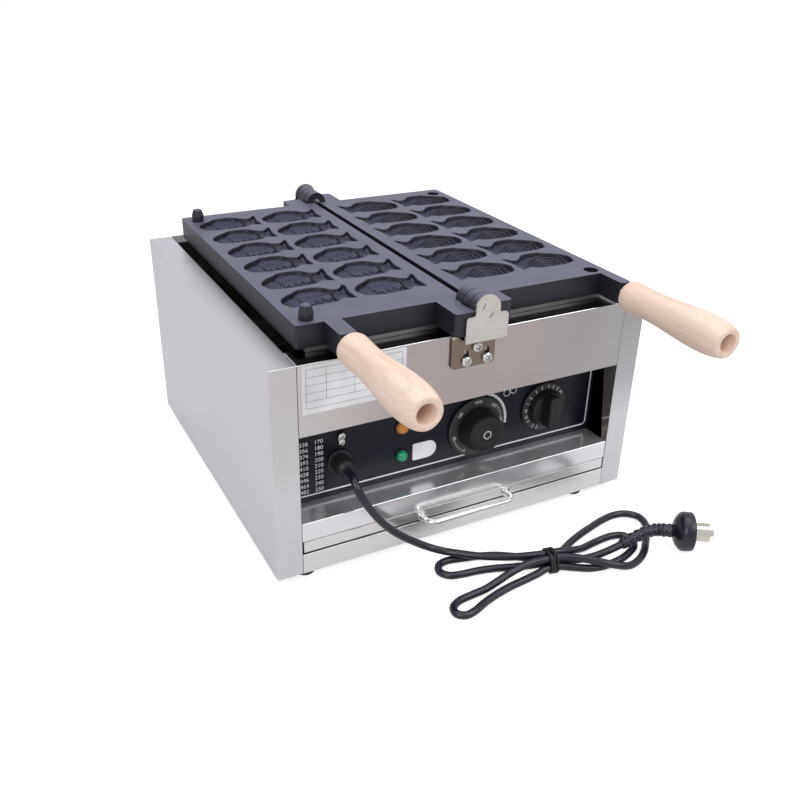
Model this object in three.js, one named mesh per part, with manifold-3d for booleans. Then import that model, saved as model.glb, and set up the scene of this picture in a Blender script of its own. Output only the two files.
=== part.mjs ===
// Taiyaki maker: an electric counter-top cooker with two cast plates of fish moulds.
// Both plates turn about one pin line between them, so either one closes over the other.
// Millimetres, +Z up, +Y to the back. The origin lies on the table, under the middle of the
// standing object, measured over the casing, the brackets and the wooden grips.
import * as THREE from 'three';
import Module from 'manifold-3d';
import { mergeVertices } from 'three/addons/utils/BufferGeometryUtils.js';

const wasm = await Module();
wasm.setup();

// Driving dimensions of the casing
const casingWidth = 375;
const casingDepth = 364;
const casingHeight = 201;
const footHeight = 10;
const sheet = 1.2;
const gap = 0.3;
const overrun = 2;

// Casing front, heights counted from the casing's lower edge
const postWidth = 23.7;
const postReturn = 28;
const frontFlange = 28;
const backFlange = 24;
const baseFlange = 12;
const railFlange = 14;
const ventRows = 3;
const ventLow = 14;
const ventPitch = 8;
const ventHeight = 4;
const ventLength = 90;
const ventInner = 20;
const baseVentRows = 4;
const baseVentSetback = 130;
const baseVentPitch = 40;
const frontPanelFoot = 136.5;
const shelfLevel = 52;
const shelfStripHeight = 19;
const railHeight = 20;
const recessDepth = 30;
const controlPanelHidden = 13.5;
const controlPanelRise = frontPanelFoot + controlPanelHidden;
const shieldSetback = 92;
const shieldDrop = 23;
const shieldRise = casingHeight - shieldDrop;

// Cast plates
const plateEndSetback = 19.5;
const plateOuter = 156;
const plateInner = 3;
const plateThickness = 20.3;
const partingLift = 24.5;
const partingHeight = casingHeight + partingLift;
const axisLift = 0.15;
const bossReach = 30;
const lugInner = 12.2;
const leftLugOuter = 29.5;
const rightLugOuter = 33;
const leftBossCentre = 124;
const leftBossWidth = 15;
const rightBossWidth = 11;
const rightBossCentre = plateOuter - rightBossWidth / 2;
const plateCorner = 3;
const plateWall = 7;
const webThickness = 8.4;

// Hinge line
const knuckleRadius = 11;
const knuckleCount = 3;
const knuckleGap = 0.8;
const pinRadius = 4;
const pinClearance = 0.35;
const bracketStandoff = 16;
const bracketThickness = 2;
const bracketRise = 13.5;
const bracketCrown = 12;
const bracketHalfWidth = 20.5;
const bracketShoulderDrop = 3.5;
const bracketShoulder = partingHeight - bracketShoulderDrop;
const bracketShelfDrop = 0.5;
const bracketShelf = casingHeight - bracketShelfDrop;
const tabDrop = 30.5;
const tabLeft = 25;
const tabRight = 18.5;
const tabCorner = 4;
const screwHeadRadius = 4.8;
const screwHeadHeight = 3.4;
const screwSpread = 10.4;
const screwLowDrop = 25;
const screwLow = casingHeight - screwLowDrop;
const screwHighDrop = 13;
const screwHigh = casingHeight - screwHighDrop;
const slotHeight = 8;
const screwHoleRadius = 2.5;
const screwShankRadius = 2.2;
const screwLength = 9;
const screwDomeShare = 0.6;
const slotRoundShare = 0.9;
const shoulderRadius = 3;
const neckRadius = 2;
const armCorner = 3;
const restWidth = 4;
const restInset = 2.5;
const restSideInset = 8;

// Fish moulds
const fishLength = 66;
const fishHeight = 41;
const fishDepth = 12;
const fishColumns = 2;
const fishRowPitch = 46.6;
const fishColumnPitch = 68;
const fishFrontMargin = 34;
const fishRearMargin = 16.5;
const fishTailInset = 14.5;
const podFloor = 3.2;
const podDrawInShare = 0.1;
const reliefWidth = 1.5;
const reliefHeight = 1.4;
const eyeRadius = 2.3;

// Locating pegs and their holes
const pegInset = 13.5;
const pegFrontInset = 11;
const pegRearInset = 17;
const pegRootRadius = 6.3;
const pegTipRadius = 4.5;
const pegHeight = 13;
const pegHoleRadius = 7;
const pegShankRadius = 4;
const pegBossRadius = 11;
const pegShankShare = 0.7;
const pegStepShare = 0.45;
const pegConeShare = 0.9;

// Wooden grips and what holds them
const gripLength = 118;
const gripRoot = 14.2;
const gripBore = 8;
const gripBoreDepth = 32;
const boltRadius = 4;
const boltClearance = 0.35;
const boltHeadRadius = 6.5;
const boltHeadHeight = 5;
const boltEngagement = 22;
const nutRadius = 8.2;
const nutLength = 5.5;

// Controls
const thermostatX = 26;
const timerX = 103;
const thermostatHeight = 88;
const timerHeight = 92;
const skirtRadius = 30.5;
const skirtThickness = 2.4;
const thermostatBaseRadius = 21;
const thermostatTipRadius = 17.2;
const thermostatKnobLength = 20;
const timerSkirtRadius = 25.5;
const timerBaseRadius = 19;
const timerBaseLength = 9;
const timerBarWidth = 13;
const timerBarLength = 35;
const timerKnobLength = 20;
const shaftRadius = 3;
const shaftClearance = 0.5;
const lampX = -53.5;
const amberLampHeight = 106;
const greenLampHeight = 76;
const amberLampRadius = 6.5;
const greenLampRadius = 5.6;
const lampLength = 6;
const lampNeckRadius = 3.6;
const lampNeckLength = 14;
const lampDomeShare = 0.7;
const lampEdgeShare = 0.85;
const knobStandoff = 1;
const shaftReach = 11;
const capRadius = 8;
const capRecess = 1;
const capEdgeShare = 0.9;
const timerTaperShare = 0.9;
const barRoundShare = 0.8;
const switchCorner = 3;
const thermostatWidth = 36;
const thermostatDepth = 26;
const timerWidth = 46;
const timerTall = 40;
const timerDepth = 34;
const terminalWidth = 42;
const terminalDepth = 20;
const terminalHeight = 16;
const terminalSetback = 22;
const terminalWays = 3;
const terminalCellShare = 0.6;
const terminalGroove = 6;
const earthHeadRadius = 3.4;
const earthHeadHeight = 2.4;
const earthPitch = 6.2;
const earthScrewLength = 12;
const glandRim = 3;
const glandRimShare = 0.9;
const glandTail = 12;
const sleeveWall = 2;
const groundScrewInset = 74;
const groundScrewHeight = 112;
const glandInset = 71.5;
const glandHeight = 87;
const glandFlangeRadius = 11.5;
const glandFlange = 3;
const glandNutRadius = 9;
const glandNutLength = 15;

// Drip tray, its handle and runners
const trayWidth = 320;
const trayBackInset = 49;
const trayDepth = 10.5;
const trayFloorLevel = 20.4;
const traySheet = 1;
const trayHandleSpan = 92;
const trayHandleReach = 17;
const trayHandleRadius = 2.6;
const trayHandleBend = 8;
const trayHandleFlange = 4.8;
const trayFlangeThickness = 1.4;
const handleBendSteps = 4;
const runnerWidth = 20;
const runnerSetback = 34;

// Heating elements under the plates
const elementDrop = 15;
const elementLevel = casingHeight - elementDrop;
const elementRadius = 4;
const elementLegs = 4;
const elementPitch = 37;
const elementInset = 24;
const elementFrontSetback = 124;
const elementRailInset = 10;
const elementRailDrop = 12;
const bendSteps = 6;
const elementRearInset = 46;
const elementRailWidth = 12;
const coldEndSetback = 74;
const bulbRadius = 3;
const bulbLength = 75;
const bulbLead = 12;
const capillaryRadius = 1.4;
const capillaryBend = 14;
const capillaryTurnShare = 0.2;

// Feet
const footRadius = 10;
const footTipShare = 0.9;
const leftFootInset = 31.5;
const rightFootInset = 45.5;
const footSetback = 17;

// Power cord: a mains lead folded into a hank on the table, its middle held by a tie
const cordRadius = 3.5;
const leadSides = 8;
const loopSides = 6;
const stepsPerPoint = 2;
const waistPitch = 3.95;
const waistRise = 7.6;
const waistStraight = 7;
const tieWidth = 9;
const tieThickness = 1.2;
const bootLowRadius = 4.7;
const bootHighRadius = 6.2;
const bootRib = 0.7;
const bootRibs = 10;
const plugRadius = 18.5;
const plugThickness = 17;
const plugShoulder = 6;
const plugEdge = 1.5;
const plugTurn = -32;
const plugBackShare = 0.6;
const insertRadius = 13;
const insertThickness = 1.2;
const bladeLength = 16;
const bladeWidth = 6.4;
const bladeThickness = 1.7;
const bladeOffset = 7;
const bladeRise = 4.5;
const bladeTilt = 30;
const earthDrop = 7;

// Derived places
const half = casingWidth / 2;
const groundScrewX = groundScrewInset - half;
const glandX = glandInset - half;
const plateLength = casingDepth - 2 * plateEndSetback;
const fishRun = plateLength - fishFrontMargin - fishRearMargin - fishHeight;
const fishRows = 1 + Math.floor(fishRun / fishRowPitch);
const gripTip = bossReach + nutLength + gripLength + 2 * gap;
const lugReach = plateEndSetback + bracketStandoff - bracketThickness - knuckleGap;
const reachInFront = gripTip - plateEndSetback;
const reachBehind = bracketStandoff;
const frontY = reachInFront - (reachInFront + casingDepth + reachBehind) / 2;
const backY = frontY + casingDepth;
const baseZ = footHeight;
const rimZ = baseZ + casingHeight;
const partingZ = baseZ + partingHeight;
const axisZ = partingZ + axisLift;
const underZ = partingZ - plateThickness;
const plateFront = frontY + plateEndSetback;
const plateBack = plateFront + plateLength;
const panelY = frontY + recessDepth;

// Finishes
const finishes = {
  stainless: { color: 0xb9b4ae, roughness: 0.34, metalness: 0.9 },
  polished: { color: 0xaaa8a6, roughness: 0.16, metalness: 0.95 },
  coating: { color: 0x3c3a44, roughness: 0.55, metalness: 0.15 },
  beech: { color: 0xe6c3a0, roughness: 0.6, metalness: 0 },
  plated: { color: 0x9da0a4, roughness: 0.3, metalness: 0.9 },
  chrome: { color: 0xc9c8c6, roughness: 0.1, metalness: 1 },
  panel: { color: 0x1c1c22, roughness: 0.4, metalness: 0 },
  plastic: { color: 0x17171a, roughness: 0.45, metalness: 0 },
  amber: { color: 0xd07a10, roughness: 0.25, metalness: 0 },
  green: { color: 0x0f9a63, roughness: 0.25, metalness: 0 },
  rubber: { color: 0x151515, roughness: 0.8, metalness: 0 },
  pvc: { color: 0x16161c, roughness: 0.5, metalness: 0 },
  element: { color: 0x5b5f58, roughness: 0.5, metalness: 0.7 },
  brass: { color: 0xb8bcc0, roughness: 0.25, metalness: 0.9 },
};

// Solids from geometry, and back
function solidOf(geometry) {
  geometry.deleteAttribute('normal');
  geometry.deleteAttribute('uv');
  const merged = mergeVertices(geometry, 1e-4);
  const vertProperties = new Float32Array(merged.attributes.position.array);
  const triVerts = new Uint32Array(merged.index.array);
  return new wasm.Manifold(new wasm.Mesh({ numProp: 3, vertProperties, triVerts }));
}

function geometryOf(solid) {
  const mesh = solid.getMesh();
  const geometry = new THREE.BufferGeometry();
  geometry.setAttribute('position', new THREE.BufferAttribute(mesh.vertProperties, mesh.numProp));
  geometry.setIndex(new THREE.BufferAttribute(mesh.triVerts, 1));
  return geometry;
}

function join(...solids) {
  return solids.reduce((whole, piece) => whole.add(piece));
}

// A box between two corners
function box(x0, x1, y0, y1, z0, z1) {
  const geometry = new THREE.BoxGeometry(x1 - x0, y1 - y0, z1 - z0);
  geometry.translate((x0 + x1) / 2, (y0 + y1) / 2, (z0 + z1) / 2);
  return solidOf(geometry);
}

// An outline pushed along one axis: along z it lies in x, y; along y in x, z; along x in y, z
function prism(outline, axis, low, high) {
  const shape = outline instanceof THREE.Shape ? outline : new THREE.Shape(outline);
  const geometry = new THREE.ExtrudeGeometry(shape, { depth: high - low, bevelEnabled: false });
  const across = new THREE.Vector3(1, 0, 0);
  const up = new THREE.Vector3(0, 0, 1);
  const back = new THREE.Vector3(0, 1, 0);
  const turn = new THREE.Matrix4();
  if (axis === 'y') turn.makeBasis(across, up, back.clone().negate());
  if (axis === 'x') turn.makeBasis(back, up, across);
  geometry.applyMatrix4(turn);
  if (axis === 'z') geometry.translate(0, 0, low);
  if (axis === 'y') geometry.translate(0, high, 0);
  if (axis === 'x') geometry.translate(low, 0, 0);
  return solidOf(geometry);
}

// An outline whose corners are rounded: each corner is [x, y, radius]
function rounded(corners, steps = 4) {
  const points = [];
  corners.forEach(([x, y, radius], index) => {
    const here = new THREE.Vector2(x, y);
    if (!radius) {
      points.push(here);
      return;
    }
    const before = corners[(index + corners.length - 1) % corners.length];
    const after = corners[(index + 1) % corners.length];
    const toBefore = new THREE.Vector2(before[0] - x, before[1] - y).normalize();
    const toAfter = new THREE.Vector2(after[0] - x, after[1] - y).normalize();
    const halfAngle = Math.acos(toBefore.dot(toAfter)) / 2;
    const reach = radius / Math.tan(halfAngle);
    const start = here.clone().addScaledVector(toBefore, reach);
    const end = here.clone().addScaledVector(toAfter, reach);
    const inward = toBefore.clone().add(toAfter).normalize();
    const centre = here.clone().addScaledVector(inward, radius / Math.sin(halfAngle));
    const from = start.clone().sub(centre).angle();
    let sweep = end.clone().sub(centre).angle() - from;
    if (sweep > Math.PI) sweep -= 2 * Math.PI;
    if (sweep < -Math.PI) sweep += 2 * Math.PI;
    for (let step = 0; step <= steps; step += 1) {
      const angle = from + (sweep * step) / steps;
      const away = new THREE.Vector2(radius * Math.cos(angle), radius * Math.sin(angle));
      points.push(away.add(centre));
    }
  });
  return points;
}

// A profile of [radius, place] pairs turned about a line along y through x, z
function turned(profile, x, z, segments) {
  const points = profile.map(([radius, place]) => new THREE.Vector2(radius, place));
  const geometry = new THREE.LatheGeometry(points, segments);
  geometry.translate(x, 0, z);
  return solidOf(outward(geometry));
}

// The same about an upright line through x, y
function upright(profile, x, y, segments) {
  const points = profile.map(([radius, place]) => new THREE.Vector2(radius, place));
  const geometry = new THREE.LatheGeometry(points, segments);
  geometry.rotateX(Math.PI / 2);
  geometry.translate(x, y, 0);
  return solidOf(outward(geometry));
}

// Turns every face round where a closed geometry encloses a negative volume
function outward(geometry) {
  const at = geometry.attributes.position;
  const index = geometry.index;
  const [a, b, c] = [new THREE.Vector3(), new THREE.Vector3(), new THREE.Vector3()];
  let volume = 0;
  for (let corner = 0; corner < index.count; corner += 3) {
    a.fromBufferAttribute(at, index.getX(corner));
    b.fromBufferAttribute(at, index.getX(corner + 1));
    c.fromBufferAttribute(at, index.getX(corner + 2));
    volume += a.dot(b.cross(c));
  }
  if (volume < 0) {
    for (let corner = 0; corner < index.count; corner += 3) {
      const second = index.getX(corner + 1);
      index.setX(corner + 1, index.getX(corner + 2));
      index.setX(corner + 2, second);
    }
  }
  return geometry;
}

function rod(x, z, radius, y0, y1, segments = 20) {
  return turned([[0, y0], [radius, y0], [radius, y1], [0, y1]], x, z, segments);
}

function post(x, y, radius, z0, z1, segments = 20) {
  return upright([[0, z0], [radius, z0], [radius, z1], [0, z1]], x, y, segments);
}

// A route given point by point, whose tangent at a bend is the mean of its two sides
class Route extends THREE.Curve {
  constructor(points) {
    super();
    this.points = points;
  }
  getPoint(t, target = new THREE.Vector3()) {
    const place = t * (this.points.length - 1);
    const index = Math.min(Math.floor(place + 1e-9), this.points.length - 2);
    return target.lerpVectors(this.points[index], this.points[index + 1], place - index);
  }
  getTangent(t, target = new THREE.Vector3()) {
    const index = Math.round(t * (this.points.length - 1));
    const before = this.points[Math.max(index - 1, 0)];
    const here = this.points[index];
    const after = this.points[Math.min(index + 1, this.points.length - 1)];
    const arriving = here.clone().sub(before).normalize();
    const leaving = after.clone().sub(here).normalize();
    return target.copy(arriving).add(leaving).normalize();
  }
  getPointAt(u, target) {
    return this.getPoint(u, target);
  }
  getTangentAt(u, target) {
    return this.getTangent(u, target);
  }
}

// A tube along a route with one ring of the section at each of its points
function tube(points, radius, sides) {
  const section = new THREE.Shape();
  for (let side = 0; side < sides; side += 1) {
    const angle = (2 * Math.PI * (side + 1 / 2)) / sides;
    const place = [radius * Math.cos(angle), radius * Math.sin(angle)];
    if (side === 0) section.moveTo(...place);
    else section.lineTo(...place);
  }
  section.closePath();
  const extrudePath = new Route(points);
  const options = { steps: points.length - 1, bevelEnabled: false, extrudePath };
  return solidOf(new THREE.ExtrudeGeometry(section, options));
}

// Rings of equal length joined into one closed solid, flat or bent caps at both ends
function loft(given) {
  const seen = given[0].map((point) => new THREE.Vector2(point.x, point.y));
  const rings = THREE.ShapeUtils.isClockWise(seen) ? given.map((ring) => [...ring].reverse()) : given;
  const count = rings[0].length;
  const positions = rings.flat().flatMap((point) => [point.x, point.y, point.z]);
  const faces = [];
  for (let ring = 0; ring < rings.length - 1; ring += 1) {
    for (let side = 0; side < count; side += 1) {
      const next = (side + 1) % count;
      const [a, b] = [ring * count + side, ring * count + next];
      const [c, d] = [a + count, b + count];
      faces.push(a, b, c, b, d, c);
    }
  }
  const flat = rings[0].map((point) => new THREE.Vector2(point.x, point.y));
  const lower = THREE.ShapeUtils.triangulateShape(flat, []);
  const last = (rings.length - 1) * count;
  for (const [a, b, c] of lower) {
    faces.push(c, b, a);
    faces.push(last + a, last + b, last + c);
  }
  const geometry = new THREE.BufferGeometry();
  geometry.setAttribute('position', new THREE.Float32BufferAttribute(positions, 3));
  geometry.setIndex(faces);
  return solidOf(outward(geometry));
}

const machine = new THREE.Group();

function addPart(group, name, solid, finish) {
  const mesh = new THREE.Mesh(geometryOf(solid), new THREE.MeshStandardMaterial(finishes[finish]));
  mesh.name = name;
  group.add(mesh);
}

// Casing: side panels, each folded with its posts at front and back and its rim flange
const casing = new THREE.Group();
machine.add(casing);
const postInside = half - postWidth;
const innerHalf = postInside - gap;
const wallInside = half - sheet - gap;

function mirrored(near, far, side) {
  return side > 0 ? [near, far] : [-far, -near];
}

function sidePanel(side) {
  const plan = [
    [postInside, backY], [half, backY], [half, frontY], [postInside, frontY],
    [postInside, frontY + postReturn], [postInside + sheet, frontY + postReturn],
    [postInside + sheet, frontY + sheet], [half - sheet, frontY + sheet],
    [half - sheet, backY - sheet], [postInside, backY - sheet],
  ];
  const wall = prism(plan.map(([x, y]) => new THREE.Vector2(side * x, y)), 'z', baseZ, rimZ);
  const [low, high] = mirrored(postInside, half - sheet / 2, side);
  const rim = box(low, high, frontY + sheet / 2, backY - sheet / 2, rimZ - sheet, rimZ);
  return join(wall, rim);
}

// A sheet folded along x: its section is given as [y, z] corners
function folded(section, halfWidth) {
  return prism(section.map(([y, z]) => new THREE.Vector2(y, z)), 'x', -halfWidth, halfWidth);
}

function screwPlaces(face) {
  return [[0, screwHigh], [-screwSpread, screwLow], [screwSpread, screwLow]].map(
    ([x, rise]) => [x, baseZ + rise, face]);
}

function frontPanel() {
  const foot = baseZ + frontPanelFoot;
  let panel = folded([
    [frontY, foot], [frontY, rimZ], [frontY + frontFlange, rimZ],
    [frontY + frontFlange, rimZ - sheet], [frontY + sheet, rimZ - sheet],
    [frontY + sheet, foot + sheet], [panelY - gap, foot + sheet], [panelY - gap, foot],
  ], innerHalf);
  for (const [x, z] of screwPlaces(frontY)) {
    panel = panel.subtract(rod(x, z, screwHoleRadius, frontY - overrun, frontY + sheet + overrun, 10));
  }
  return panel;
}

function backPanel() {
  let panel = folded([
    [backY, baseZ], [backY, rimZ], [backY - backFlange, rimZ], [backY - backFlange, rimZ - sheet],
    [backY - sheet, rimZ - sheet], [backY - sheet, baseZ],
  ], innerHalf);
  for (let row = 0; row < ventRows; row += 1) {
    for (const side of [-1, 1]) {
      const z = baseZ + ventLow + row * ventPitch;
      const [low, high] = mirrored(ventInner, ventInner + ventLength, side);
      panel = panel.subtract(box(low, high, backY - sheet - overrun, backY + overrun, z, z + ventHeight));
    }
  }
  for (const [x, z] of screwPlaces(backY)) {
    panel = panel.subtract(rod(x, z, screwHoleRadius, backY - sheet - overrun, backY + overrun, 10));
  }
  return panel;
}

function basePlate() {
  const front = frontY + sheet + gap;
  const shoulder = frontY + postReturn + gap;
  const rear = backY - sheet - gap;
  const plan = [
    [-innerHalf, front], [innerHalf, front], [innerHalf, shoulder], [wallInside, shoulder],
    [wallInside, rear], [-wallInside, rear], [-wallInside, shoulder], [-innerHalf, shoulder],
  ];
  let plate = prism(plan.map(([x, y]) => new THREE.Vector2(x, y)), 'z', baseZ, baseZ + sheet);
  for (const side of [-1, 1]) {
    const [low, high] = mirrored(wallInside - sheet, wallInside, side);
    plate = plate.add(box(low, high, shoulder, rear, baseZ, baseZ + baseFlange));
  }
  for (let row = 0; row < baseVentRows; row += 1) {
    const y = frontY + baseVentSetback + row * baseVentPitch;
    for (const side of [-1, 1]) {
      const [low, high] = mirrored(ventInner, ventInner + ventLength, side);
      plate = plate.subtract(box(low, high, y, y + ventHeight, baseZ - overrun, baseZ + sheet + overrun));
    }
  }
  return plate;
}

const shieldY = frontY + shieldSetback;
const shelfZ = baseZ + shelfLevel;
const stripZ = shelfZ - shelfStripHeight;

function shelf() {
  return folded([
    [frontY, stripZ], [frontY, shelfZ], [shieldY - gap, shelfZ], [shieldY - gap, shelfZ - sheet],
    [frontY + sheet, shelfZ - sheet], [frontY + sheet, stripZ],
  ], innerHalf);
}

function bottomRail() {
  const top = baseZ + railHeight;
  return folded([
    [frontY, baseZ], [frontY, top], [frontY + railFlange, top], [frontY + railFlange, top - sheet],
    [frontY + sheet, top - sheet], [frontY + sheet, baseZ],
  ], innerHalf);
}

// The black fascia, with its holes for shafts, lamps, gland and earth screw
function controlPanel() {
  const holes = [
    [thermostatX, baseZ + thermostatHeight, shaftRadius + shaftClearance],
    [timerX, baseZ + timerHeight, shaftRadius + shaftClearance],
    [lampX, baseZ + amberLampHeight, lampNeckRadius + shaftClearance],
    [lampX, baseZ + greenLampHeight, lampNeckRadius + shaftClearance],
    [groundScrewX, baseZ + groundScrewHeight, screwHoleRadius],
    [glandX, baseZ + glandHeight, glandNutRadius + shaftClearance],
  ];
  let panel = box(-wallInside, wallInside, panelY, panelY + sheet, shelfZ + gap, baseZ + controlPanelRise);
  for (const [x, z, radius] of holes) {
    panel = panel.subtract(rod(x, z, radius, panelY - overrun, panelY + sheet + overrun, 12));
  }
  return panel;
}

addPart(casing, 'side_panel_left', sidePanel(-1), 'stainless');
addPart(casing, 'side_panel_right', sidePanel(1), 'stainless');
addPart(casing, 'front_panel', frontPanel(), 'stainless');
addPart(casing, 'back_panel', backPanel(), 'stainless');
addPart(casing, 'base_plate', basePlate(), 'stainless');
addPart(casing, 'control_shelf', shelf(), 'polished');
addPart(casing, 'bottom_rail', bottomRail(), 'stainless');
addPart(casing, 'control_panel', controlPanel(), 'panel');
const shield = box(-wallInside, wallInside, shieldY, shieldY + sheet, stripZ, baseZ + shieldRise);
addPart(casing, 'heat_shield', shield, 'stainless');

// Rubber feet under the base plate
const footXs = { left: -(half - leftFootInset), right: half - rightFootInset };
const footYs = { front: frontY + footSetback, rear: backY - footSetback };
for (const [end, y] of Object.entries(footYs)) {
  for (const [side, x] of Object.entries(footXs)) {
    const profile = [[0, 0], [footRadius * footTipShare, 0], [footRadius, baseZ - gap], [0, baseZ - gap]];
    addPart(casing, `foot_${end}_${side}`, upright(profile, x, y, 16), 'rubber');
  }
}

// Runners that carry the drip tray, channels open to the middle
for (const [name, side] of [['left', -1], ['right', 1]]) {
  const outer = innerHalf;
  const inner = outer - runnerWidth;
  const low = baseZ + sheet + gap;
  const high = baseZ + trayFloorLevel - gap;
  const section = [
    [inner, low], [outer, low], [outer, high], [inner, high], [inner, high - sheet],
    [outer - sheet, high - sheet], [outer - sheet, low + sheet], [inner, low + sheet],
  ];
  const outline = section.map(([x, z]) => new THREE.Vector2(side * x, z));
  const runner = prism(outline, 'y', frontY + runnerSetback, backY - runnerSetback);
  addPart(casing, `tray_runner_${name}`, runner, 'stainless');
}

// Tubular heating elements on two cross rails, bent to and fro under each plate
const railTop = baseZ + elementLevel - elementRadius - gap;
const elementFront = frontY + elementFrontSetback;
const elementRear = backY - elementRearInset;

function elementRail(y) {
  return folded([
    [y, railTop - elementRailDrop], [y, railTop], [y + elementRailWidth, railTop],
    [y + elementRailWidth, railTop - sheet], [y + sheet, railTop - sheet],
    [y + sheet, railTop - elementRailDrop],
  ], wallInside);
}

function heatingElement(side) {
  const z = baseZ + elementLevel;
  const bend = elementPitch / 2;
  const coldEnd = frontY + coldEndSetback;
  const points = [new THREE.Vector3(side * elementInset, coldEnd, z)];
  for (let leg = 0; leg < elementLegs - 1; leg += 1) {
    const towardBack = leg % 2 === 0;
    const centreX = elementInset + elementPitch * (leg + 1 / 2);
    const centre = new THREE.Vector2(centreX, towardBack ? elementRear : elementFront);
    for (let step = 0; step <= bendSteps; step += 1) {
      const angle = Math.PI * (1 - step / bendSteps);
      const away = Math.sin(angle) * (towardBack ? 1 : -1);
      const x = centre.x + bend * Math.cos(angle);
      points.push(new THREE.Vector3(side * x, centre.y + bend * away, z));
    }
  }
  const lastX = elementInset + elementPitch * (elementLegs - 1);
  points.push(new THREE.Vector3(side * lastX, coldEnd, z));
  return tube(points, elementRadius, 6);
}

addPart(casing, 'element_rail_front', elementRail(elementFront + elementRailInset), 'stainless');
addPart(casing, 'element_rail_rear', elementRail(elementRear - elementRailInset), 'stainless');
addPart(casing, 'heating_element_left', heatingElement(-1), 'element');
addPart(casing, 'heating_element_right', heatingElement(1), 'element');

// Controls behind the fascia: each body stands against it and sends its shaft through
const bodyFront = panelY + sheet + gap;
const knobBack = panelY - knobStandoff;

function switchBody(x, z, width, height, depth) {
  const corners = [
    [x - width / 2, z - height / 2, switchCorner], [x + width / 2, z - height / 2, switchCorner],
    [x + width / 2, z + height / 2, switchCorner], [x - width / 2, z + height / 2, switchCorner],
  ];
  const body = prism(rounded(corners, 2), 'y', bodyFront, bodyFront + depth);
  return body.add(rod(x, z, shaftRadius, knobBack - shaftReach, bodyFront + overrun, 12));
}

const thermostatZ = baseZ + thermostatHeight;
const timerZ = baseZ + timerHeight;
addPart(casing, 'thermostat_body',
  switchBody(thermostatX, thermostatZ, thermostatWidth, thermostatWidth, thermostatDepth), 'plastic');
addPart(casing, 'timer_body', switchBody(timerX, timerZ, timerWidth, timerTall, timerDepth), 'plastic');

// The thermostat's bulb lies on the front rail, its capillary climbs over the heat shield
function thermostatBulb() {
  const bulbZ = railTop + gap + bulbRadius;
  const start = elementFront - bulbLead;
  const riseY = bodyFront + thermostatDepth / 2;
  const roofZ = thermostatZ + thermostatWidth / 2 + gap;
  const points = [
    new THREE.Vector3(thermostatX, riseY, roofZ),
    new THREE.Vector3(thermostatX, riseY, bulbZ - capillaryBend),
    new THREE.Vector3(thermostatX * (1 - capillaryTurnShare), riseY + capillaryBend / 2, bulbZ),
    new THREE.Vector3(0, start - capillaryBend, bulbZ),
    new THREE.Vector3(0, start + overrun, bulbZ),
  ];
  const climb = new THREE.CatmullRomCurve3(points, false, 'centripetal');
  const capillary = tube(climb.getPoints(16), capillaryRadius, 6);
  return capillary.add(rod(0, bulbZ, bulbRadius, start, start + bulbLength, 10));
}
addPart(casing, 'thermostat_bulb', thermostatBulb(), 'plated');

// Terminal block on the shelf behind the gland
function terminalBlock() {
  const [x0, y0, z0] = [glandX - terminalWidth / 2, panelY + terminalSetback, shelfZ + gap];
  let block = box(x0, x0 + terminalWidth, y0, y0 + terminalDepth, z0, z0 + terminalHeight);
  const cell = terminalWidth / terminalWays;
  for (let way = 0; way < terminalWays; way += 1) {
    const centre = x0 + cell * (way + 1 / 2);
    const top = z0 + terminalHeight;
    const pocket = box(centre - cell * terminalCellShare / 2, centre + cell * terminalCellShare / 2,
      y0 - overrun, y0 + terminalDepth + overrun, top - terminalGroove, top + overrun);
    block = block.subtract(pocket);
  }
  return block;
}
addPart(casing, 'terminal_block', terminalBlock(), 'plastic');

// Pilot lamps: a domed lens in front of the fascia, its neck through it
function lamp(z, radius) {
  const lensBack = panelY - gap;
  const profile = [
    [0, lensBack - lampLength], [radius * lampDomeShare, lensBack - lampLength * lampEdgeShare],
    [radius, lensBack - lampLength / 2], [radius, lensBack], [lampNeckRadius, lensBack],
    [lampNeckRadius, lensBack + lampNeckLength], [0, lensBack + lampNeckLength],
  ];
  return turned(profile, lampX, z, 12);
}
addPart(casing, 'lamp_amber', lamp(baseZ + amberLampHeight, amberLampRadius), 'amber');
addPart(casing, 'lamp_green', lamp(baseZ + greenLampHeight, greenLampRadius), 'green');

// A pan-head screw whose head bears on a face: toward is -1 when the head points to the front
function panScrew(x, z, face, toward, radius, height, shank, length) {
  const seat = face + toward * gap;
  const profile = [
    [0, seat + toward * height], [radius * screwDomeShare, seat + toward * height],
    [radius, seat + toward * height / 2], [radius, seat], [shank, seat],
    [shank, seat - toward * length], [0, seat - toward * length],
  ];
  return turned(profile, x, z, 10);
}

// Earth terminal: a tag under two screw heads, the upper one through the fascia
function groundTerminal() {
  const z = baseZ + groundScrewHeight;
  const tag = box(groundScrewX - earthHeadRadius, groundScrewX + earthHeadRadius,
    panelY - gap - sheet, panelY - gap, z - earthPitch, z);
  const upper = panScrew(groundScrewX, z, panelY - sheet, -1, earthHeadRadius, earthHeadHeight,
    shaftRadius / 2, earthScrewLength);
  const nutFace = panelY - gap - sheet - earthHeadHeight;
  const nut = rod(groundScrewX, z - earthPitch, earthHeadRadius, nutFace, panelY - gap, 6);
  return join(tag, upper, nut);
}
addPart(casing, 'ground_terminal', groundTerminal(), 'brass');

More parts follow.
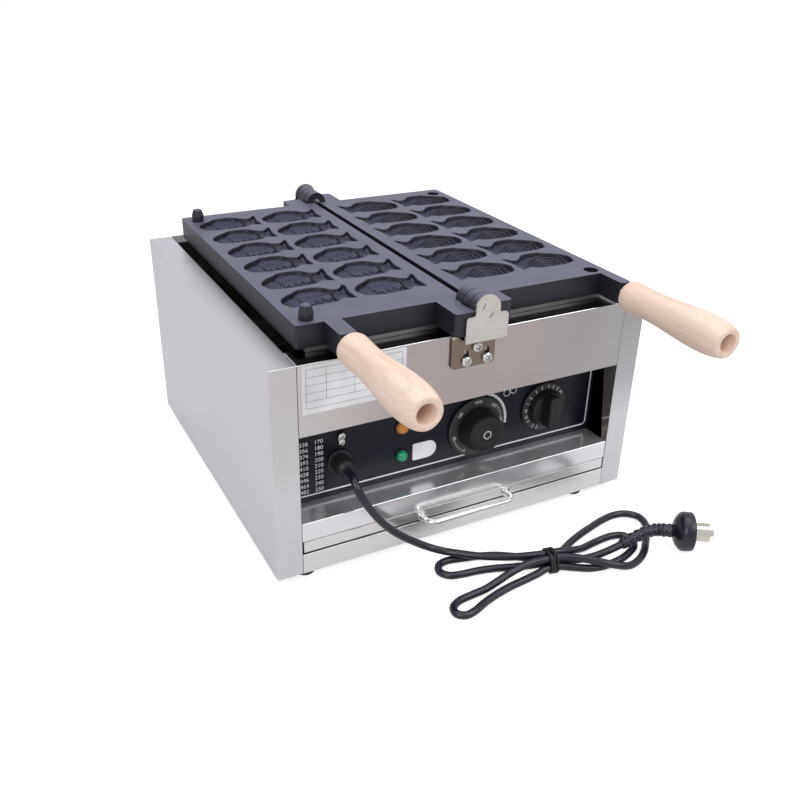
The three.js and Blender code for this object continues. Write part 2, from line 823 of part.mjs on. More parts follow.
// Cable gland: flange, nut and the tapered sleeve that stiffens the lead where it leaves
const glandZ = baseZ + glandHeight;
const glandTip = panelY - gap - glandFlange - glandNutLength - glandRim;
function cableGland() {
  const back = panelY - gap;
  const flangeFront = back - glandFlange;
  const nutFront = flangeFront - glandNutLength;
  const profile = [
    [0, glandTip], [cordRadius + sleeveWall, glandTip], [glandNutRadius * glandRimShare, nutFront],
    [glandNutRadius, nutFront + glandRim], [glandNutRadius, flangeFront],
    [glandFlangeRadius, flangeFront], [glandFlangeRadius, back], [glandNutRadius, back],
    [glandNutRadius, back + glandTail], [0, back + glandTail],
  ];
  return turned(profile, glandX, glandZ, 12);
}
addPart(casing, 'cable_gland', cableGland(), 'plastic');

// The cord's route in places from the casing: x from its middle, y from its front face, z
// from the table. The lead sags from the gland to the table and climbs onto the hank's waist.
const leadRoute = [
  [-116, 8.4, 97], [-116, 2, 97], [-116.8, -5, 94.5], [-115.5, -10.5, 88], [-111.5, -14, 78.5],
  [-104.5, -15.5, 66.5], [-96, -17, 54.5], [-86, -17.5, 43], [-74.5, -18, 32.5], [-62, -19, 23],
  [-49.5, -22, 15.5], [-38, -28.5, 12], [-27, -37.5, 11.8], [-14, -48, 12], [1, -57.5, 12.4],
  [14.5, -64.5, 12.8], [26, -68.6, 12.9],
];
// Four folded loops, two to each side of the waist
const loopRoutes = [
  [
    [60, -76.2, 12], [72, -76, 9], [85, -73.5, 5], [98, -70.5, 3.6], [111, -69, 3.6],
    [124, -69, 3.6], [134, -73, 3.6], [137.5, -82, 3.6], [132, -91, 3.6], [122, -96.5, 3.6],
    [110, -100.5, 3.6], [98, -102, 3.6], [86, -102, 3.6], [74, -99, 3.6], [62, -93.2, 4.4],
  ],
  [
    [27, -85, 4.3], [12, -86.5, 3.6], [-5, -88.5, 3.6], [-22, -92, 3.6], [-37, -96.5, 3.6],
    [-51, -102, 3.6], [-60, -103, 3.6], [-66, -98, 3.6], [-64.5, -90, 3.6], [-56, -85, 3.6],
    [-42, -83, 3.6], [-27, -82, 4], [-12, -80, 6.5], [5, -78.5, 10.5], [22, -78.2, 12.7],
  ],
  [
    [59, -87, 12.8], [70.5, -95, 12.4], [82, -104, 11.2], [95, -110.5, 7.8], [109, -112.3, 3.9],
    [124, -108.5, 3.6], [136, -101, 3.6], [146.5, -91, 3.6], [157, -80.5, 3.6], [166, -69, 3.6],
    [168.5, -55.5, 3.6], [160, -45.5, 3.6], [147, -42.5, 3.6], [131, -44.5, 3.6], [114, -49, 3.6],
    [97, -54, 3.6], [80, -60.5, 3.7], [66, -67.5, 4.6],
  ],
  [
    [32, -63.5, 4.6], [20, -53, 3.6], [6, -44.5, 3.6], [-9, -39, 3.6], [-25, -35, 3.6],
    [-38, -32.5, 3.6], [-47.5, -35.5, 3.6], [-51, -43.5, 3.6], [-46, -51.5, 3.6],
    [-35, -55, 3.6], [-21, -57, 3.6], [-6, -60.5, 3.6], [10, -66, 3.6], [25, -71.8, 4.4],
  ],
];
// From the waist the last run climbs over the folds into the boot and the plug
const lastRun = [
  [60, -81.3, 4.7], [73, -85.5, 4.7], [87, -89, 6.2], [101, -91.2, 9.2], [114, -92.4, 12.4],
];
const bootRun = [
  [121, -92.4, 13.8], [133, -91.8, 15.6], [145, -92.4, 17.2], [153, -94.7, 18.3], [158.1, -97.9, 18.5],
  [166.6, -103.2, 18.5],
];
const waist = { x: 44.6, y: -77.5, low: 5.3, turn: -12 };

// A strand crosses the waist straight, in its own slot, two rows of slots one over the other
function crossing(slot, way) {
  const angle = THREE.MathUtils.degToRad(waist.turn);
  const [alongX, alongY] = [Math.cos(angle), Math.sin(angle)];
  const z = waist.low + (slot % 2 === 0 ? 0 : waistRise);
  return [-1, 0, 1].map((place) => {
    const run = place * way * waistStraight;
    const aside = slot * waistPitch;
    return [waist.x + run * alongX + aside * alongY, waist.y + run * alongY - aside * alongX, z];
  });
}

const strandSlots = [-1, 2, 1, -2, 0];
const crossings = strandSlots.map((slot, index) => crossing(slot, index % 2 === 0 ? 1 : -1));
const glandShift = glandX - leadRoute[0][0];
const wholeRoute = leadRoute.map(([x, y, z], index) => [
  x + glandShift * (1 - index / (leadRoute.length - 1)), y, z]);
crossings.forEach((places, index) => wholeRoute.push(...places, ...(loopRoutes[index] ?? lastRun)));
const cordCurve = new THREE.CatmullRomCurve3(
  wholeRoute.map(([x, y, z]) => new THREE.Vector3(x, frontY + y, z)), false, 'centripetal');
const routeSpans = wholeRoute.length - 1;

function stretchOfCord(fromPoint, toPoint, steps) {
  const points = [];
  for (let step = 0; step <= steps; step += 1) {
    points.push(cordCurve.getPoint((fromPoint + ((toPoint - fromPoint) * step) / steps) / routeSpans));
  }
  return points;
}

// Draws the end of a run of points back by a distance
function shortened(points, distance) {
  const last = points[points.length - 1];
  const way = points[points.length - 2].clone().sub(last).normalize();
  return [...points.slice(0, -1), last.clone().addScaledVector(way, distance)];
}

// The lead reaches the waist's first slot, and from there the hank is one unbroken tube
const leadSpans = leadRoute.length;
const leadPoints = shortened(stretchOfCord(0, leadSpans, leadSpans * stepsPerPoint), gap);
leadPoints[0].y = glandTip - gap;
leadPoints[0].x = glandX;
leadPoints[0].z = glandZ;
addPart(casing, 'power_lead', tube(leadPoints, cordRadius, leadSides), 'pvc');
const hankPoints = stretchOfCord(leadSpans, routeSpans, (routeSpans - leadSpans) * stepsPerPoint);
addPart(casing, 'cord_hank', tube(hankPoints, cordRadius, loopSides), 'pvc');

// The least gap of the cord to itself, between places more than a few diameters apart
function leastGap() {
  const places = stretchOfCord(0, routeSpans, routeSpans * 8);
  const reached = [0];
  places.slice(1).forEach((place, index) => reached.push(reached[index] + place.distanceTo(places[index])));
  let least = Infinity;
  for (let first = 0; first < places.length; first += 1) {
    for (let second = first + 1; second < places.length; second += 1) {
      if (reached[second] - reached[first] < 8 * cordRadius) continue;
      least = Math.min(least, places[first].distanceTo(places[second]));
    }
  }
  return { gap: least - 2 * cordRadius, length: reached[reached.length - 1] };
}
const measured = leastGap();
console.log(`cord: ${measured.length.toFixed(0)} mm, least gap to itself ${measured.gap.toFixed(2)} mm`);

// A closed band around upright section places, at a reach from each: [aside, rise] corners
function around(centres, reach, steps = 4) {
  const outline = [];
  centres.forEach(([x, z], index) => {
    const before = centres[(index + centres.length - 1) % centres.length];
    const after = centres[(index + 1) % centres.length];
    const from = Math.atan2(z - before[1], x - before[0]) - Math.PI / 2;
    let sweep = Math.atan2(after[1] - z, after[0] - x) - Math.PI / 2 - from;
    if (sweep < 0) sweep += 2 * Math.PI;
    for (let step = 0; step <= steps; step += 1) {
      const angle = from + (sweep * step) / steps;
      outline.push(new THREE.Vector2(x + reach * Math.cos(angle), z + reach * Math.sin(angle)));
    }
  });
  return outline;
}

// The tie goes round the five strands; its section lies in x, z and is then turned with them
function cordTie() {
  const [low, high] = [waist.low, waist.low + waistRise];
  const centres = [[-2 * waistPitch, low], [2 * waistPitch, low], [waistPitch, high], [-waistPitch, high]];
  const inner = cordRadius + gap;
  const band = prism(around(centres, inner + tieThickness), 'y', -tieWidth / 2, tieWidth / 2);
  const bore = prism(around(centres, inner), 'y', -tieWidth / 2 - overrun, tieWidth / 2 + overrun);
  return band.subtract(bore).rotate([0, 0, 90 + waist.turn]).translate([waist.x, frontY + waist.y, 0]);
}
addPart(casing, 'cord_tie', cordTie(), 'rubber');

// A round sleeve along points, each with its own radius, closed at both ends
function sleeve(points, radii, sides) {
  const up = new THREE.Vector3(0, 0, 1);
  const positions = [];
  const faces = [];
  points.forEach((point, index) => {
    const before = points[Math.max(index - 1, 0)];
    const after = points[Math.min(index + 1, points.length - 1)];
    const way = after.clone().sub(before).normalize();
    const across = new THREE.Vector3().crossVectors(way, up).normalize();
    const over = new THREE.Vector3().crossVectors(across, way);
    for (let side = 0; side < sides; side += 1) {
      const angle = (2 * Math.PI * side) / sides;
      const place = point.clone().addScaledVector(across, radii[index] * Math.cos(angle))
        .addScaledVector(over, radii[index] * Math.sin(angle));
      positions.push(place.x, place.y, place.z);
    }
  });
  for (let ring = 0; ring < points.length - 1; ring += 1) {
    for (let side = 0; side < sides; side += 1) {
      const next = (side + 1) % sides;
      const [a, b] = [ring * sides + side, ring * sides + next];
      faces.push(a, a + sides, b, b, a + sides, b + sides);
    }
  }
  const last = (points.length - 1) * sides;
  for (let side = 1; side < sides - 1; side += 1) {
    faces.push(0, side, side + 1, last, last + side + 1, last + side);
  }
  const geometry = new THREE.BufferGeometry();
  geometry.setAttribute('position', new THREE.Float32BufferAttribute(positions, 3));
  geometry.setIndex(faces);
  return solidOf(outward(geometry));
}

// Ribbed boot from the cord's end to the plug's back
const hankEnd = hankPoints[hankPoints.length - 1];
const endWay = hankEnd.clone().sub(hankPoints[hankPoints.length - 2]).normalize();
const bootStart = hankEnd.clone().addScaledVector(endWay, gap);
const bootCurve = new THREE.CatmullRomCurve3(
  [bootStart, ...bootRun.map(([x, y, z]) => new THREE.Vector3(x, frontY + y, z))], false, 'centripetal');
const bootRings = bootCurve.getSpacedPoints(2 * bootRibs);
const bootRadii = bootRings.map((point, index) => {
  const share = index / (2 * bootRibs);
  const rib = index % 2 === 1 ? bootRib : 0;
  return bootLowRadius + (bootHighRadius - bootLowRadius) * share + rib;
});
addPart(casing, 'plug_boot', sleeve(bootRings, bootRadii, 8), 'pvc');

// The moulded plug stands on its rim: built facing the front, then turned and set down
const bootEnd = bootRings[bootRings.length - 1];
function setDown(solid) {
  return solid.rotate([0, 0, 90 + plugTurn]).translate([bootEnd.x, bootEnd.y, 0]);
}

function plugBody() {
  const back = -gap;
  const front = back - plugThickness;
  return setDown(turned([
    [0, back], [plugRadius * plugBackShare, back], [plugRadius, back - plugShoulder],
    [plugRadius, front + plugEdge], [plugRadius - plugEdge, front], [0, front],
  ], 0, plugRadius, 20));
}
addPart(casing, 'plug_body', plugBody(), 'pvc');

// Three flat blades, joined by the insert that they're moulded in
function plugPins() {
  const root = -gap - plugThickness - gap;
  const face = root - insertThickness;
  const insert = rod(0, plugRadius, insertRadius, face, root, 16);
  const blade = (x, rise, tilt) => box(-bladeThickness / 2, bladeThickness / 2, face - bladeLength, root,
    -bladeWidth / 2, bladeWidth / 2).rotate([0, tilt, 0]).translate([x, 0, plugRadius + rise]);
  return setDown(join(insert, blade(-bladeOffset, bladeRise, bladeTilt),
    blade(bladeOffset, bladeRise, -bladeTilt), blade(0, -earthDrop, 0)));
}
addPart(casing, 'plug_pins', plugPins(), 'plated');

// Hinge line: a bent bracket at each end holds the pin that both plates turn on
const middleY = frontY + casingDepth / 2;
const crownZ = axisZ + bracketRise;
const ends = { front: -1, rear: 1 };

// A place so far out from the casing's face at the front or the rear
function outFrom(end, distance) {
  return end < 0 ? frontY - distance : backY + distance;
}

function along(end, from, to) {
  return [outFrom(end, from), outFrom(end, to)].sort((a, b) => a - b);
}

function hingeBracket(end) {
  const foot = baseZ + bracketShelf - bracketThickness;
  const shoulder = baseZ + bracketShoulder;
  const outline = rounded([
    [-bracketHalfWidth, foot, 0], [bracketHalfWidth, foot, 0], [bracketHalfWidth, shoulder, shoulderRadius],
    [bracketCrown, shoulder, neckRadius], [bracketCrown, crownZ, bracketCrown - gap],
    [-bracketCrown, crownZ, bracketCrown - gap], [-bracketCrown, shoulder, neckRadius],
    [-bracketHalfWidth, shoulder, shoulderRadius],
  ], 5);
  const plate = prism(outline, 'y', ...along(end, bracketStandoff - bracketThickness, bracketStandoff));
  const seatSpan = along(end, gap, bracketStandoff - bracketThickness / 2);
  const seat = box(-bracketHalfWidth, bracketHalfWidth, ...seatSpan, foot, foot + bracketThickness);
  const tabFoot = baseZ + bracketShelf - tabDrop;
  const tabOutline = rounded([
    [-tabLeft, tabFoot, tabCorner], [tabRight, tabFoot, tabCorner],
    [tabRight, foot + bracketThickness, 0], [-tabLeft, foot + bracketThickness, 0],
  ], 3);
  let tab = prism(tabOutline, 'y', ...along(end, gap, gap + bracketThickness));
  const through = along(end, -overrun, bracketThickness + overrun);
  for (const [x, z] of screwPlaces(0)) {
    const slotTop = z > baseZ + screwLow ? z : z + slotHeight;
    const slot = rounded([
      [x - screwHoleRadius, z - screwHoleRadius, screwHoleRadius * slotRoundShare],
      [x + screwHoleRadius, z - screwHoleRadius, screwHoleRadius * slotRoundShare],
      [x + screwHoleRadius, slotTop + screwHoleRadius, screwHoleRadius * slotRoundShare],
      [x - screwHoleRadius, slotTop + screwHoleRadius, screwHoleRadius * slotRoundShare],
    ], 2);
    tab = tab.subtract(prism(slot, 'y', ...through));
  }
  return join(plate, seat, tab);
}

for (const [name, end] of Object.entries(ends)) {
  addPart(casing, `hinge_bracket_${name}`, hingeBracket(end), 'stainless');
  const pinSpan = along(end, gap - (plateEndSetback - 2 * gap), bracketStandoff - bracketThickness - gap);
  addPart(casing, `hinge_pin_${name}`, rod(0, axisZ, pinRadius, ...pinSpan, 16), 'plated');
  const face = outFrom(end, gap + bracketThickness);
  screwPlaces(0).forEach(([x, z], index) => {
    const screw = panScrew(x, z, face, end, screwHeadRadius, screwHeadHeight, screwShankRadius, screwLength);
    addPart(casing, `bracket_screw_${name}_${index + 1}`, screw, 'plated');
  });
}

// Strips on the rim that the plates' ends rest on
for (const [end, y] of Object.entries({ front: plateFront + restInset, rear: plateBack - restInset })) {
  const reach = plateOuter - restSideInset;
  const strip = box(-reach, reach, y - restWidth / 2, y + restWidth / 2, rimZ + gap, underZ - gap);
  addPart(casing, `plate_rest_${end}`, strip, 'stainless');
}

// Fish outline from the nose at 0 to the tail at 1, belly at 0 and back at 1
const fishShares = [
  [0, 0.36], [0.03, 0.57], [0.14, 0.75], [0.26, 0.87], [0.34, 0.97], [0.46, 1], [0.58, 0.98],
  [0.67, 0.91], [0.75, 0.77], [0.83, 0.7], [0.9, 0.75], [0.95, 0.87], [1, 0.89], [0.96, 0.47],
  [0.96, 0.07], [0.87, 0.11], [0.79, 0.15], [0.71, 0.05], [0.56, 0.02], [0.4, 0], [0.22, 0.02],
  [0.06, 0.11],
];
// The line down the middle of the fish that its walls lean toward
const spineStartShare = 0.2;
const spineEndShare = 0.84;
const spineRiseShare = 0.47;
const wallShares = [[0, 0], [0.14, 0.62], [0.34, 1]];
const podShares = [
  [-0.04, 0.4], [0.12, 0.86], [0.34, 1.06], [0.6, 1.06], [0.82, 0.86], [1.02, 1], [1.02, 0],
  [0.56, -0.06], [0.16, -0.06],
];

// The walls draw in with depth: a share of the way to the spine at a share of the depth
function fishRing(shares, drawIn, z) {
  return shares.map(([along, rise]) => {
    const spine = Math.min(Math.max(along, spineStartShare), spineEndShare);
    const x = (along + (spine - along) * drawIn) * fishLength;
    const y = (rise + (spineRiseShare - rise) * drawIn) * fishHeight;
    return new THREE.Vector3(x, y, z);
  });
}

// Raised lines on the mould's floor, as [along, rise] runs, that print gill, fin and tail
const reliefShares = {
  left: [
    [[0.27, 0.86], [0.33, 0.6], [0.36, 0.3]],
    [[0.5, 0.66], [0.61, 0.48], [0.6, 0.2]],
    [[0.93, 0.68], [0.81, 0.46], [0.92, 0.24]],
  ],
  right: [
    [[0.42, 0.88], [0.46, 0.5], [0.41, 0.14]],
    [[0.18, 0.2], [0.24, 0.44], [0.35, 0.42], [0.4, 0.2]],
    [[0.93, 0.68], [0.81, 0.46], [0.92, 0.24]],
  ],
};
const eyeShare = [0.17, 0.58];

// A strip of the relief's width laid along a run of points
function strip(run, width, low, high) {
  const points = run.map(([along, rise]) => new THREE.Vector2(along * fishLength, rise * fishHeight));
  const sides = [1, -1].map((side) => points.map((point, index) => {
    const before = points[Math.max(index - 1, 0)];
    const after = points[Math.min(index + 1, points.length - 1)];
    const way = after.clone().sub(before).normalize();
    return new THREE.Vector2(point.x - side * way.y * width / 2, point.y + side * way.x * width / 2);
  }));
  return prism([...sides[0].reverse(), ...sides[1]], 'z', low, high);
}

// One mould: the space that is cut from the plate, less the raised lines that stay in it
function fishMould(side) {
  const rings = [fishRing(fishShares, 0, overrun)];
  for (const [drawIn, depth] of wallShares) rings.push(fishRing(fishShares, drawIn, -depth * fishDepth));
  let mould = loft(rings);
  const [low, high] = [-fishDepth - overrun, reliefHeight - fishDepth];
  for (const run of reliefShares[side]) mould = mould.subtract(strip(run, reliefWidth, low, high));
  const [along, rise] = eyeShare;
  return mould.subtract(post(along * fishLength, rise * fishHeight, eyeRadius, low, high + reliefHeight, 6));
}

// Every mould of one plate, noses to the outside, cut or built from one solid
function fishPattern(solid, side) {
  const places = [];
  for (let row = 0; row < fishRows; row += 1) {
    for (let column = 0; column < fishColumns; column += 1) {
      const x = fishTailInset + fishLength + column * fishColumnPitch;
      const y = plateFront + fishFrontMargin + row * fishRowPitch;
      places.push([x, y]);
    }
  }
  return places.map(([x, y]) => {
    const facing = solid.mirror([1, 0, 0]).translate([x, y, partingZ]);
    return side > 0 ? facing : facing.mirror([1, 0, 0]);
  });
}

// One arm and its share of the interleaved knuckles, at the plate's front left
const knuckleRun = lugReach - knuckleGap;
const knuckleWidth = (knuckleRun - (knuckleCount - 1) * knuckleGap) / knuckleCount;
function hingeArm(outer, rings) {
  const front = plateFront - lugReach;
  const armFront = front + rings[0] * (knuckleWidth + knuckleGap);
  const outline = rounded([
    [-outer, armFront, armCorner], [-lugInner, armFront, 0], [-lugInner, plateFront + overrun, 0],
    [-outer, plateFront + overrun, 0],
  ], 3);
  let arm = prism(outline, 'z', underZ, partingZ);
  for (const ring of rings) {
    const start = front + ring * (knuckleWidth + knuckleGap);
    const barrel = rod(0, axisZ, knuckleRadius, start, start + knuckleWidth, 20);
    const web = box(-lugInner - overrun, 0, start, start + knuckleWidth, axisZ - knuckleRadius, partingZ);
    arm = join(arm, web, barrel);
  }
  return arm.subtract(rod(0, axisZ, pinRadius + pinClearance, front - overrun, plateFront + overrun, 16));
}

function flipEnds(solid) {
  return solid.translate([0, -middleY, 0]).mirror([0, 1, 0]).translate([0, middleY, 0]);
}

// The boss that a handle bolt screws into
const boltHole = boltRadius + boltClearance;
const gripZ = (underZ + partingZ) / 2;
function handleBoss(centre, width) {
  const front = plateFront - bossReach;
  const outline = rounded([
    [centre - width / 2, front, armCorner], [centre + width / 2, front, armCorner],
    [centre + width / 2, plateFront + plateWall, 0], [centre - width / 2, plateFront + plateWall, 0],
  ], 3);
  return prism(outline, 'z', underZ, partingZ);
}

const pegX = plateOuter - pegInset;
const pegYs = { front: plateFront + pegFrontInset, rear: plateBack - pegRearInset };

// A plate: slab hollowed from below to a web and a rim, pods around the moulds, arms and boss
function castPlate(side) {
  const [low, high] = mirrored(plateInner, plateOuter, side);
  const corners = [
    [low, plateFront, plateCorner], [high, plateFront, plateCorner],
    [high, plateBack, plateCorner], [low, plateBack, plateCorner],
  ];
  const slab = prism(rounded(corners, 3), 'z', underZ, partingZ);
  let hollow = box(low + plateWall, high - plateWall, plateFront + plateWall, plateBack - plateWall,
    underZ - overrun, partingZ - webThickness);
  const podRings = [0, 1].map((level) => fishRing(podShares, level * podDrawInShare,
    level ? -fishDepth - podFloor : overrun - webThickness));
  for (const pod of fishPattern(loft(podRings), side)) hollow = hollow.subtract(pod);
  for (const y of Object.values(pegYs)) {
    hollow = hollow.subtract(post(side * pegX, y, pegBossRadius, underZ - overrun, partingZ, 16));
  }
  const bossCentre = side > 0 ? rightBossCentre : leftBossCentre;
  const bossWidth = side > 0 ? rightBossWidth : leftBossWidth;
  let plate = slab.subtract(hollow).add(handleBoss(side * bossCentre, bossWidth));
  const [frontArm, rearArm] = side > 0
    ? [hingeArm(rightLugOuter, [1]), hingeArm(leftLugOuter, [0, 2])]
    : [hingeArm(leftLugOuter, [0, 2]), hingeArm(rightLugOuter, [1])];
  for (const arm of [frontArm, flipEnds(rearArm)]) {
    plate = plate.add(side > 0 ? arm.mirror([1, 0, 0]) : arm);
  }
  for (const mould of fishPattern(fishMould(side > 0 ? 'right' : 'left'), side)) {
    plate = plate.subtract(mould);
  }
  const bossFront = plateFront - bossReach;
  return plate.subtract(rod(side * bossCentre, gripZ, boltHole, bossFront - overrun,
    bossFront + boltEngagement + gap, 12));
}

const leftPlate = new THREE.Group();
const rightPlate = new THREE.Group();
machine.add(leftPlate, rightPlate);

let leftCasting = castPlate(-1);
let rightCasting = castPlate(1);
for (const [end, y] of Object.entries(pegYs)) {
  const shankDepth = pegHeight * pegShankShare;
  const [seatFloor, seatRadius] = [partingZ - shankDepth - gap, pegShankRadius + boltClearance];
  leftCasting = leftCasting.subtract(post(-pegX, y, seatRadius, seatFloor, partingZ + overrun, 12));
  const hole = post(pegX, y, pegHoleRadius, underZ - overrun, partingZ + overrun, 16);
  rightCasting = rightCasting.subtract(hole);
  const foot = partingZ + gap;
  const peg = upright([
    [0, partingZ - shankDepth], [pegShankRadius, partingZ - shankDepth], [pegShankRadius, foot],
    [pegRootRadius, foot], [pegRootRadius, foot + pegHeight * pegStepShare],
    [pegTipRadius, foot + pegHeight * pegConeShare], [0, foot + pegHeight],
  ], -pegX, y, 12);
  addPart(leftPlate, `locating_peg_${end}`, peg, 'coating');
}
addPart(leftPlate, 'left_plate', leftCasting, 'coating');
addPart(rightPlate, 'right_plate', rightCasting, 'coating');

// Turned wooden grip, held by a long bolt through it and a lock nut against the boss
const gripShares = [
  [0, 0.93], [0.03, 1], [0.24, 0.94], [0.4, 0.99], [0.56, 1.09], [0.72, 1.16], [0.84, 1.16],
  [0.95, 1.04], [1, 0.88],
];
const nutFront = plateFront - bossReach - gap - nutLength;
const gripBack = nutFront - gap;
const gripFront = gripBack - gripLength;
const boreFloor = gripFront + gripBoreDepth;

function grip(x) {
  const outside = gripShares.map(([place, share]) => [gripRoot * share, gripBack - gripLength * place]);
  const profile = [
    [boltHole, gripBack], ...outside, [gripBore, gripFront], [gripBore, boreFloor], [boltHole, boreFloor],
    [boltHole, gripBack],
  ];
  return turned(profile, x, gripZ, 16);
}

function handleNut(x) {
  const back = nutFront + nutLength;
  const hexagon = rod(x, gripZ, nutRadius, nutFront, back, 6);
  return hexagon.subtract(rod(x, gripZ, boltHole, nutFront - overrun, back + overrun, 12));
}

function handleBolt(x) {
  const seat = boreFloor - gap;
  const tip = plateFront - bossReach + boltEngagement;
  return turned([[0, seat - boltHeadHeight], [boltHeadRadius, seat - boltHeadHeight], [boltHeadRadius, seat],
    [boltRadius, seat], [boltRadius, tip], [0, tip]], x, gripZ, 12);
}

const handles = [['left', leftPlate, -leftBossCentre], ['right', rightPlate, rightBossCentre]];
for (const [name, group, x] of handles) {
  addPart(group, `${name}_grip`, grip(x), 'beech');
  addPart(group, `${name}_handle_nut`, handleNut(x), 'plated');
  addPart(group, `${name}_handle_bolt`, handleBolt(x), 'plated');
}

// Drip tray under the plates, with its pull handle
const tray = new THREE.Group();
machine.add(tray);
const trayZ = baseZ + trayFloorLevel;
const trayBack = backY - trayBackInset;
const trayHalf = trayWidth / 2;
const trayOuter = box(-trayHalf, trayHalf, frontY, trayBack, trayZ, trayZ + trayDepth);
const trayInside = box(traySheet - trayHalf, trayHalf - traySheet, frontY + traySheet, trayBack - traySheet,
  trayZ + traySheet, trayZ + trayDepth + overrun);
addPart(tray, 'drip_tray', trayOuter.subtract(trayInside), 'stainless');

function trayHandle() {
  const z = trayZ + trayDepth / 2;
  const reach = frontY - trayHandleReach + trayHandleRadius;
  const turnX = trayHandleSpan / 2;
  const points = [new THREE.Vector3(-turnX, frontY - gap - overrun / 2, z)];
  for (const side of [-1, 1]) {
    const centre = new THREE.Vector2(side * (turnX - trayHandleBend), reach + trayHandleBend);
    for (let step = 0; step <= handleBendSteps; step += 1) {
      const turn = (Math.PI / 2) * (side < 0 ? step / handleBendSteps : 1 - step / handleBendSteps);
      points.push(new THREE.Vector3(centre.x + side * trayHandleBend * Math.cos(turn),
        centre.y - trayHandleBend * Math.sin(turn), z));
    }
  }
  points.push(new THREE.Vector3(turnX, frontY - gap - overrun / 2, z));
  const discBack = frontY - gap;
  const discs = [-1, 1].map((side) =>
    rod(side * turnX, z, trayHandleFlange, discBack - trayFlangeThickness, discBack, 12));
  return join(tube(points, trayHandleRadius, 8), ...discs);
}
addPart(tray, 'tray_handle', trayHandle(), 'chrome');

// Knobs: each has a blind bore for its shaft
function boredKnob(solid, x, z) {
  const boreEnd = knobBack - shaftReach - gap;
  return solid.subtract(rod(x, z, shaftRadius + shaftClearance, boreEnd, knobBack + overrun, 12));
}

const thermostatKnob = new THREE.Group();
const timerKnob = new THREE.Group();
machine.add(thermostatKnob, timerKnob);

function thermostatDial() {
  const skirtFront = knobBack - skirtThickness;
  const front = knobBack - thermostatKnobLength;
  const profile = [
    [0, front + capRecess], [capRadius, front + capRecess], [capRadius, front],
    [thermostatTipRadius * capEdgeShare, front], [thermostatTipRadius, front + capRecess],
    [thermostatBaseRadius, skirtFront], [skirtRadius, skirtFront], [skirtRadius, knobBack], [0, knobBack],
  ];
  return boredKnob(turned(profile, thermostatX, thermostatZ, 24), thermostatX, thermostatZ);
}
addPart(thermostatKnob, 'thermostat_knob', thermostatDial(), 'plastic');

function timerDial() {
  const skirtFront = knobBack - skirtThickness;
  const baseFront = knobBack - timerBaseLength;
  const front = knobBack - timerKnobLength;
  const hub = turned([
    [0, baseFront], [timerBaseRadius * timerTaperShare, baseFront], [timerBaseRadius, skirtFront],
    [timerSkirtRadius, skirtFront], [timerSkirtRadius, knobBack], [0, knobBack],
  ], timerX, timerZ, 24);
  const [wide, tall] = [timerBarWidth / 2, timerBarLength / 2];
  const barRound = wide * barRoundShare;
  const outline = rounded([
    [timerX - wide, timerZ - tall, barRound], [timerX + wide, timerZ - tall, barRound],
    [timerX + wide, timerZ + tall, barRound], [timerX - wide, timerZ + tall, barRound],
  ], 3);
  return boredKnob(hub.add(prism(outline, 'y', front, baseFront + overrun)), timerX, timerZ);
}
addPart(timerKnob, 'timer_knob', timerDial(), 'plastic');

export default machine;
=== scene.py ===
# %% [markdown]
# # A fish-cake maker, dressed in Blender
# The machine is a stainless box on rubber feet with two cast plates of fish moulds that open
# like a book. The frame below is the finished metalwork, already in place and in metres. This
# lesson gives every part its real surface, and remakes the parts whose roundness or relief the
# plain frame can't hold: moulds, grips, knobs, screws and the mains lead.

# %% Load the frame
import bmesh
import bpy
import math
import numpy as np
from mathutils import Matrix, Vector


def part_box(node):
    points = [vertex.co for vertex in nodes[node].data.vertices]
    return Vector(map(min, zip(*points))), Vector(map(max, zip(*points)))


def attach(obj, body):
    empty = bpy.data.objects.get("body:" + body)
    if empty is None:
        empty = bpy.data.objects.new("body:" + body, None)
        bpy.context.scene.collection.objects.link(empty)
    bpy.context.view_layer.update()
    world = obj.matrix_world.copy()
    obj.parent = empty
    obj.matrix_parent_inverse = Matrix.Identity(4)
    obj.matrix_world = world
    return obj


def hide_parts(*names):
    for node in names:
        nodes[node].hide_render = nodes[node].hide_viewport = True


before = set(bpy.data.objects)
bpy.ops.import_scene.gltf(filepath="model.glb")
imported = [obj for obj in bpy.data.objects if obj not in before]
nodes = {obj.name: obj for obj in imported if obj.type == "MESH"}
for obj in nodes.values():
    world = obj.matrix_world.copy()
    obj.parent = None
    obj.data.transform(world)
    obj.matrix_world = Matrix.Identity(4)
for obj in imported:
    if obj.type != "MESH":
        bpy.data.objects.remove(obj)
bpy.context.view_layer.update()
MM = 0.001

# %% [markdown]
# ## Where things stand
# The front face of the casing, the height of the feet and the face of the control panel come
# from the frame itself, and the small pieces are placed from them. Lengths below are in
# millimetres and are turned into metres when a mesh is made.

# %% Reference planes
def low(node):
    return [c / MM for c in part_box(node)[0]]


def high(node):
    return [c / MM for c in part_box(node)[1]]


CASING_FRONT = low("side_panel_left")[1]
FOOT_HEIGHT = low("base_plate")[2]
PANEL_FACE = low("control_panel")[1]
PLATE_TOP = FOOT_HEIGHT + 225.5
PLATE_FRONT = CASING_FRONT + 19.5
print("casing front", round(CASING_FRONT, 2), "fascia", round(PANEL_FACE, 2), "plate top", PLATE_TOP)

# %% [markdown]
# ## The camera
# The picture was taken from the left front, a little above the plates. Four edges of the casing
# fix the camera: their vanishing points give the turn and the tilt, and the 375 mm width gives
# the distance. It is written as a turn, a tilt and a slight roll, which are easier to read than
# a rotation matrix.

# %% Camera
def placed(name, data):
    """A new object in the scene that shows a mesh, a lamp, a text or a camera."""
    made = bpy.data.objects.new(name, data)
    bpy.context.scene.collection.objects.link(made)
    return made


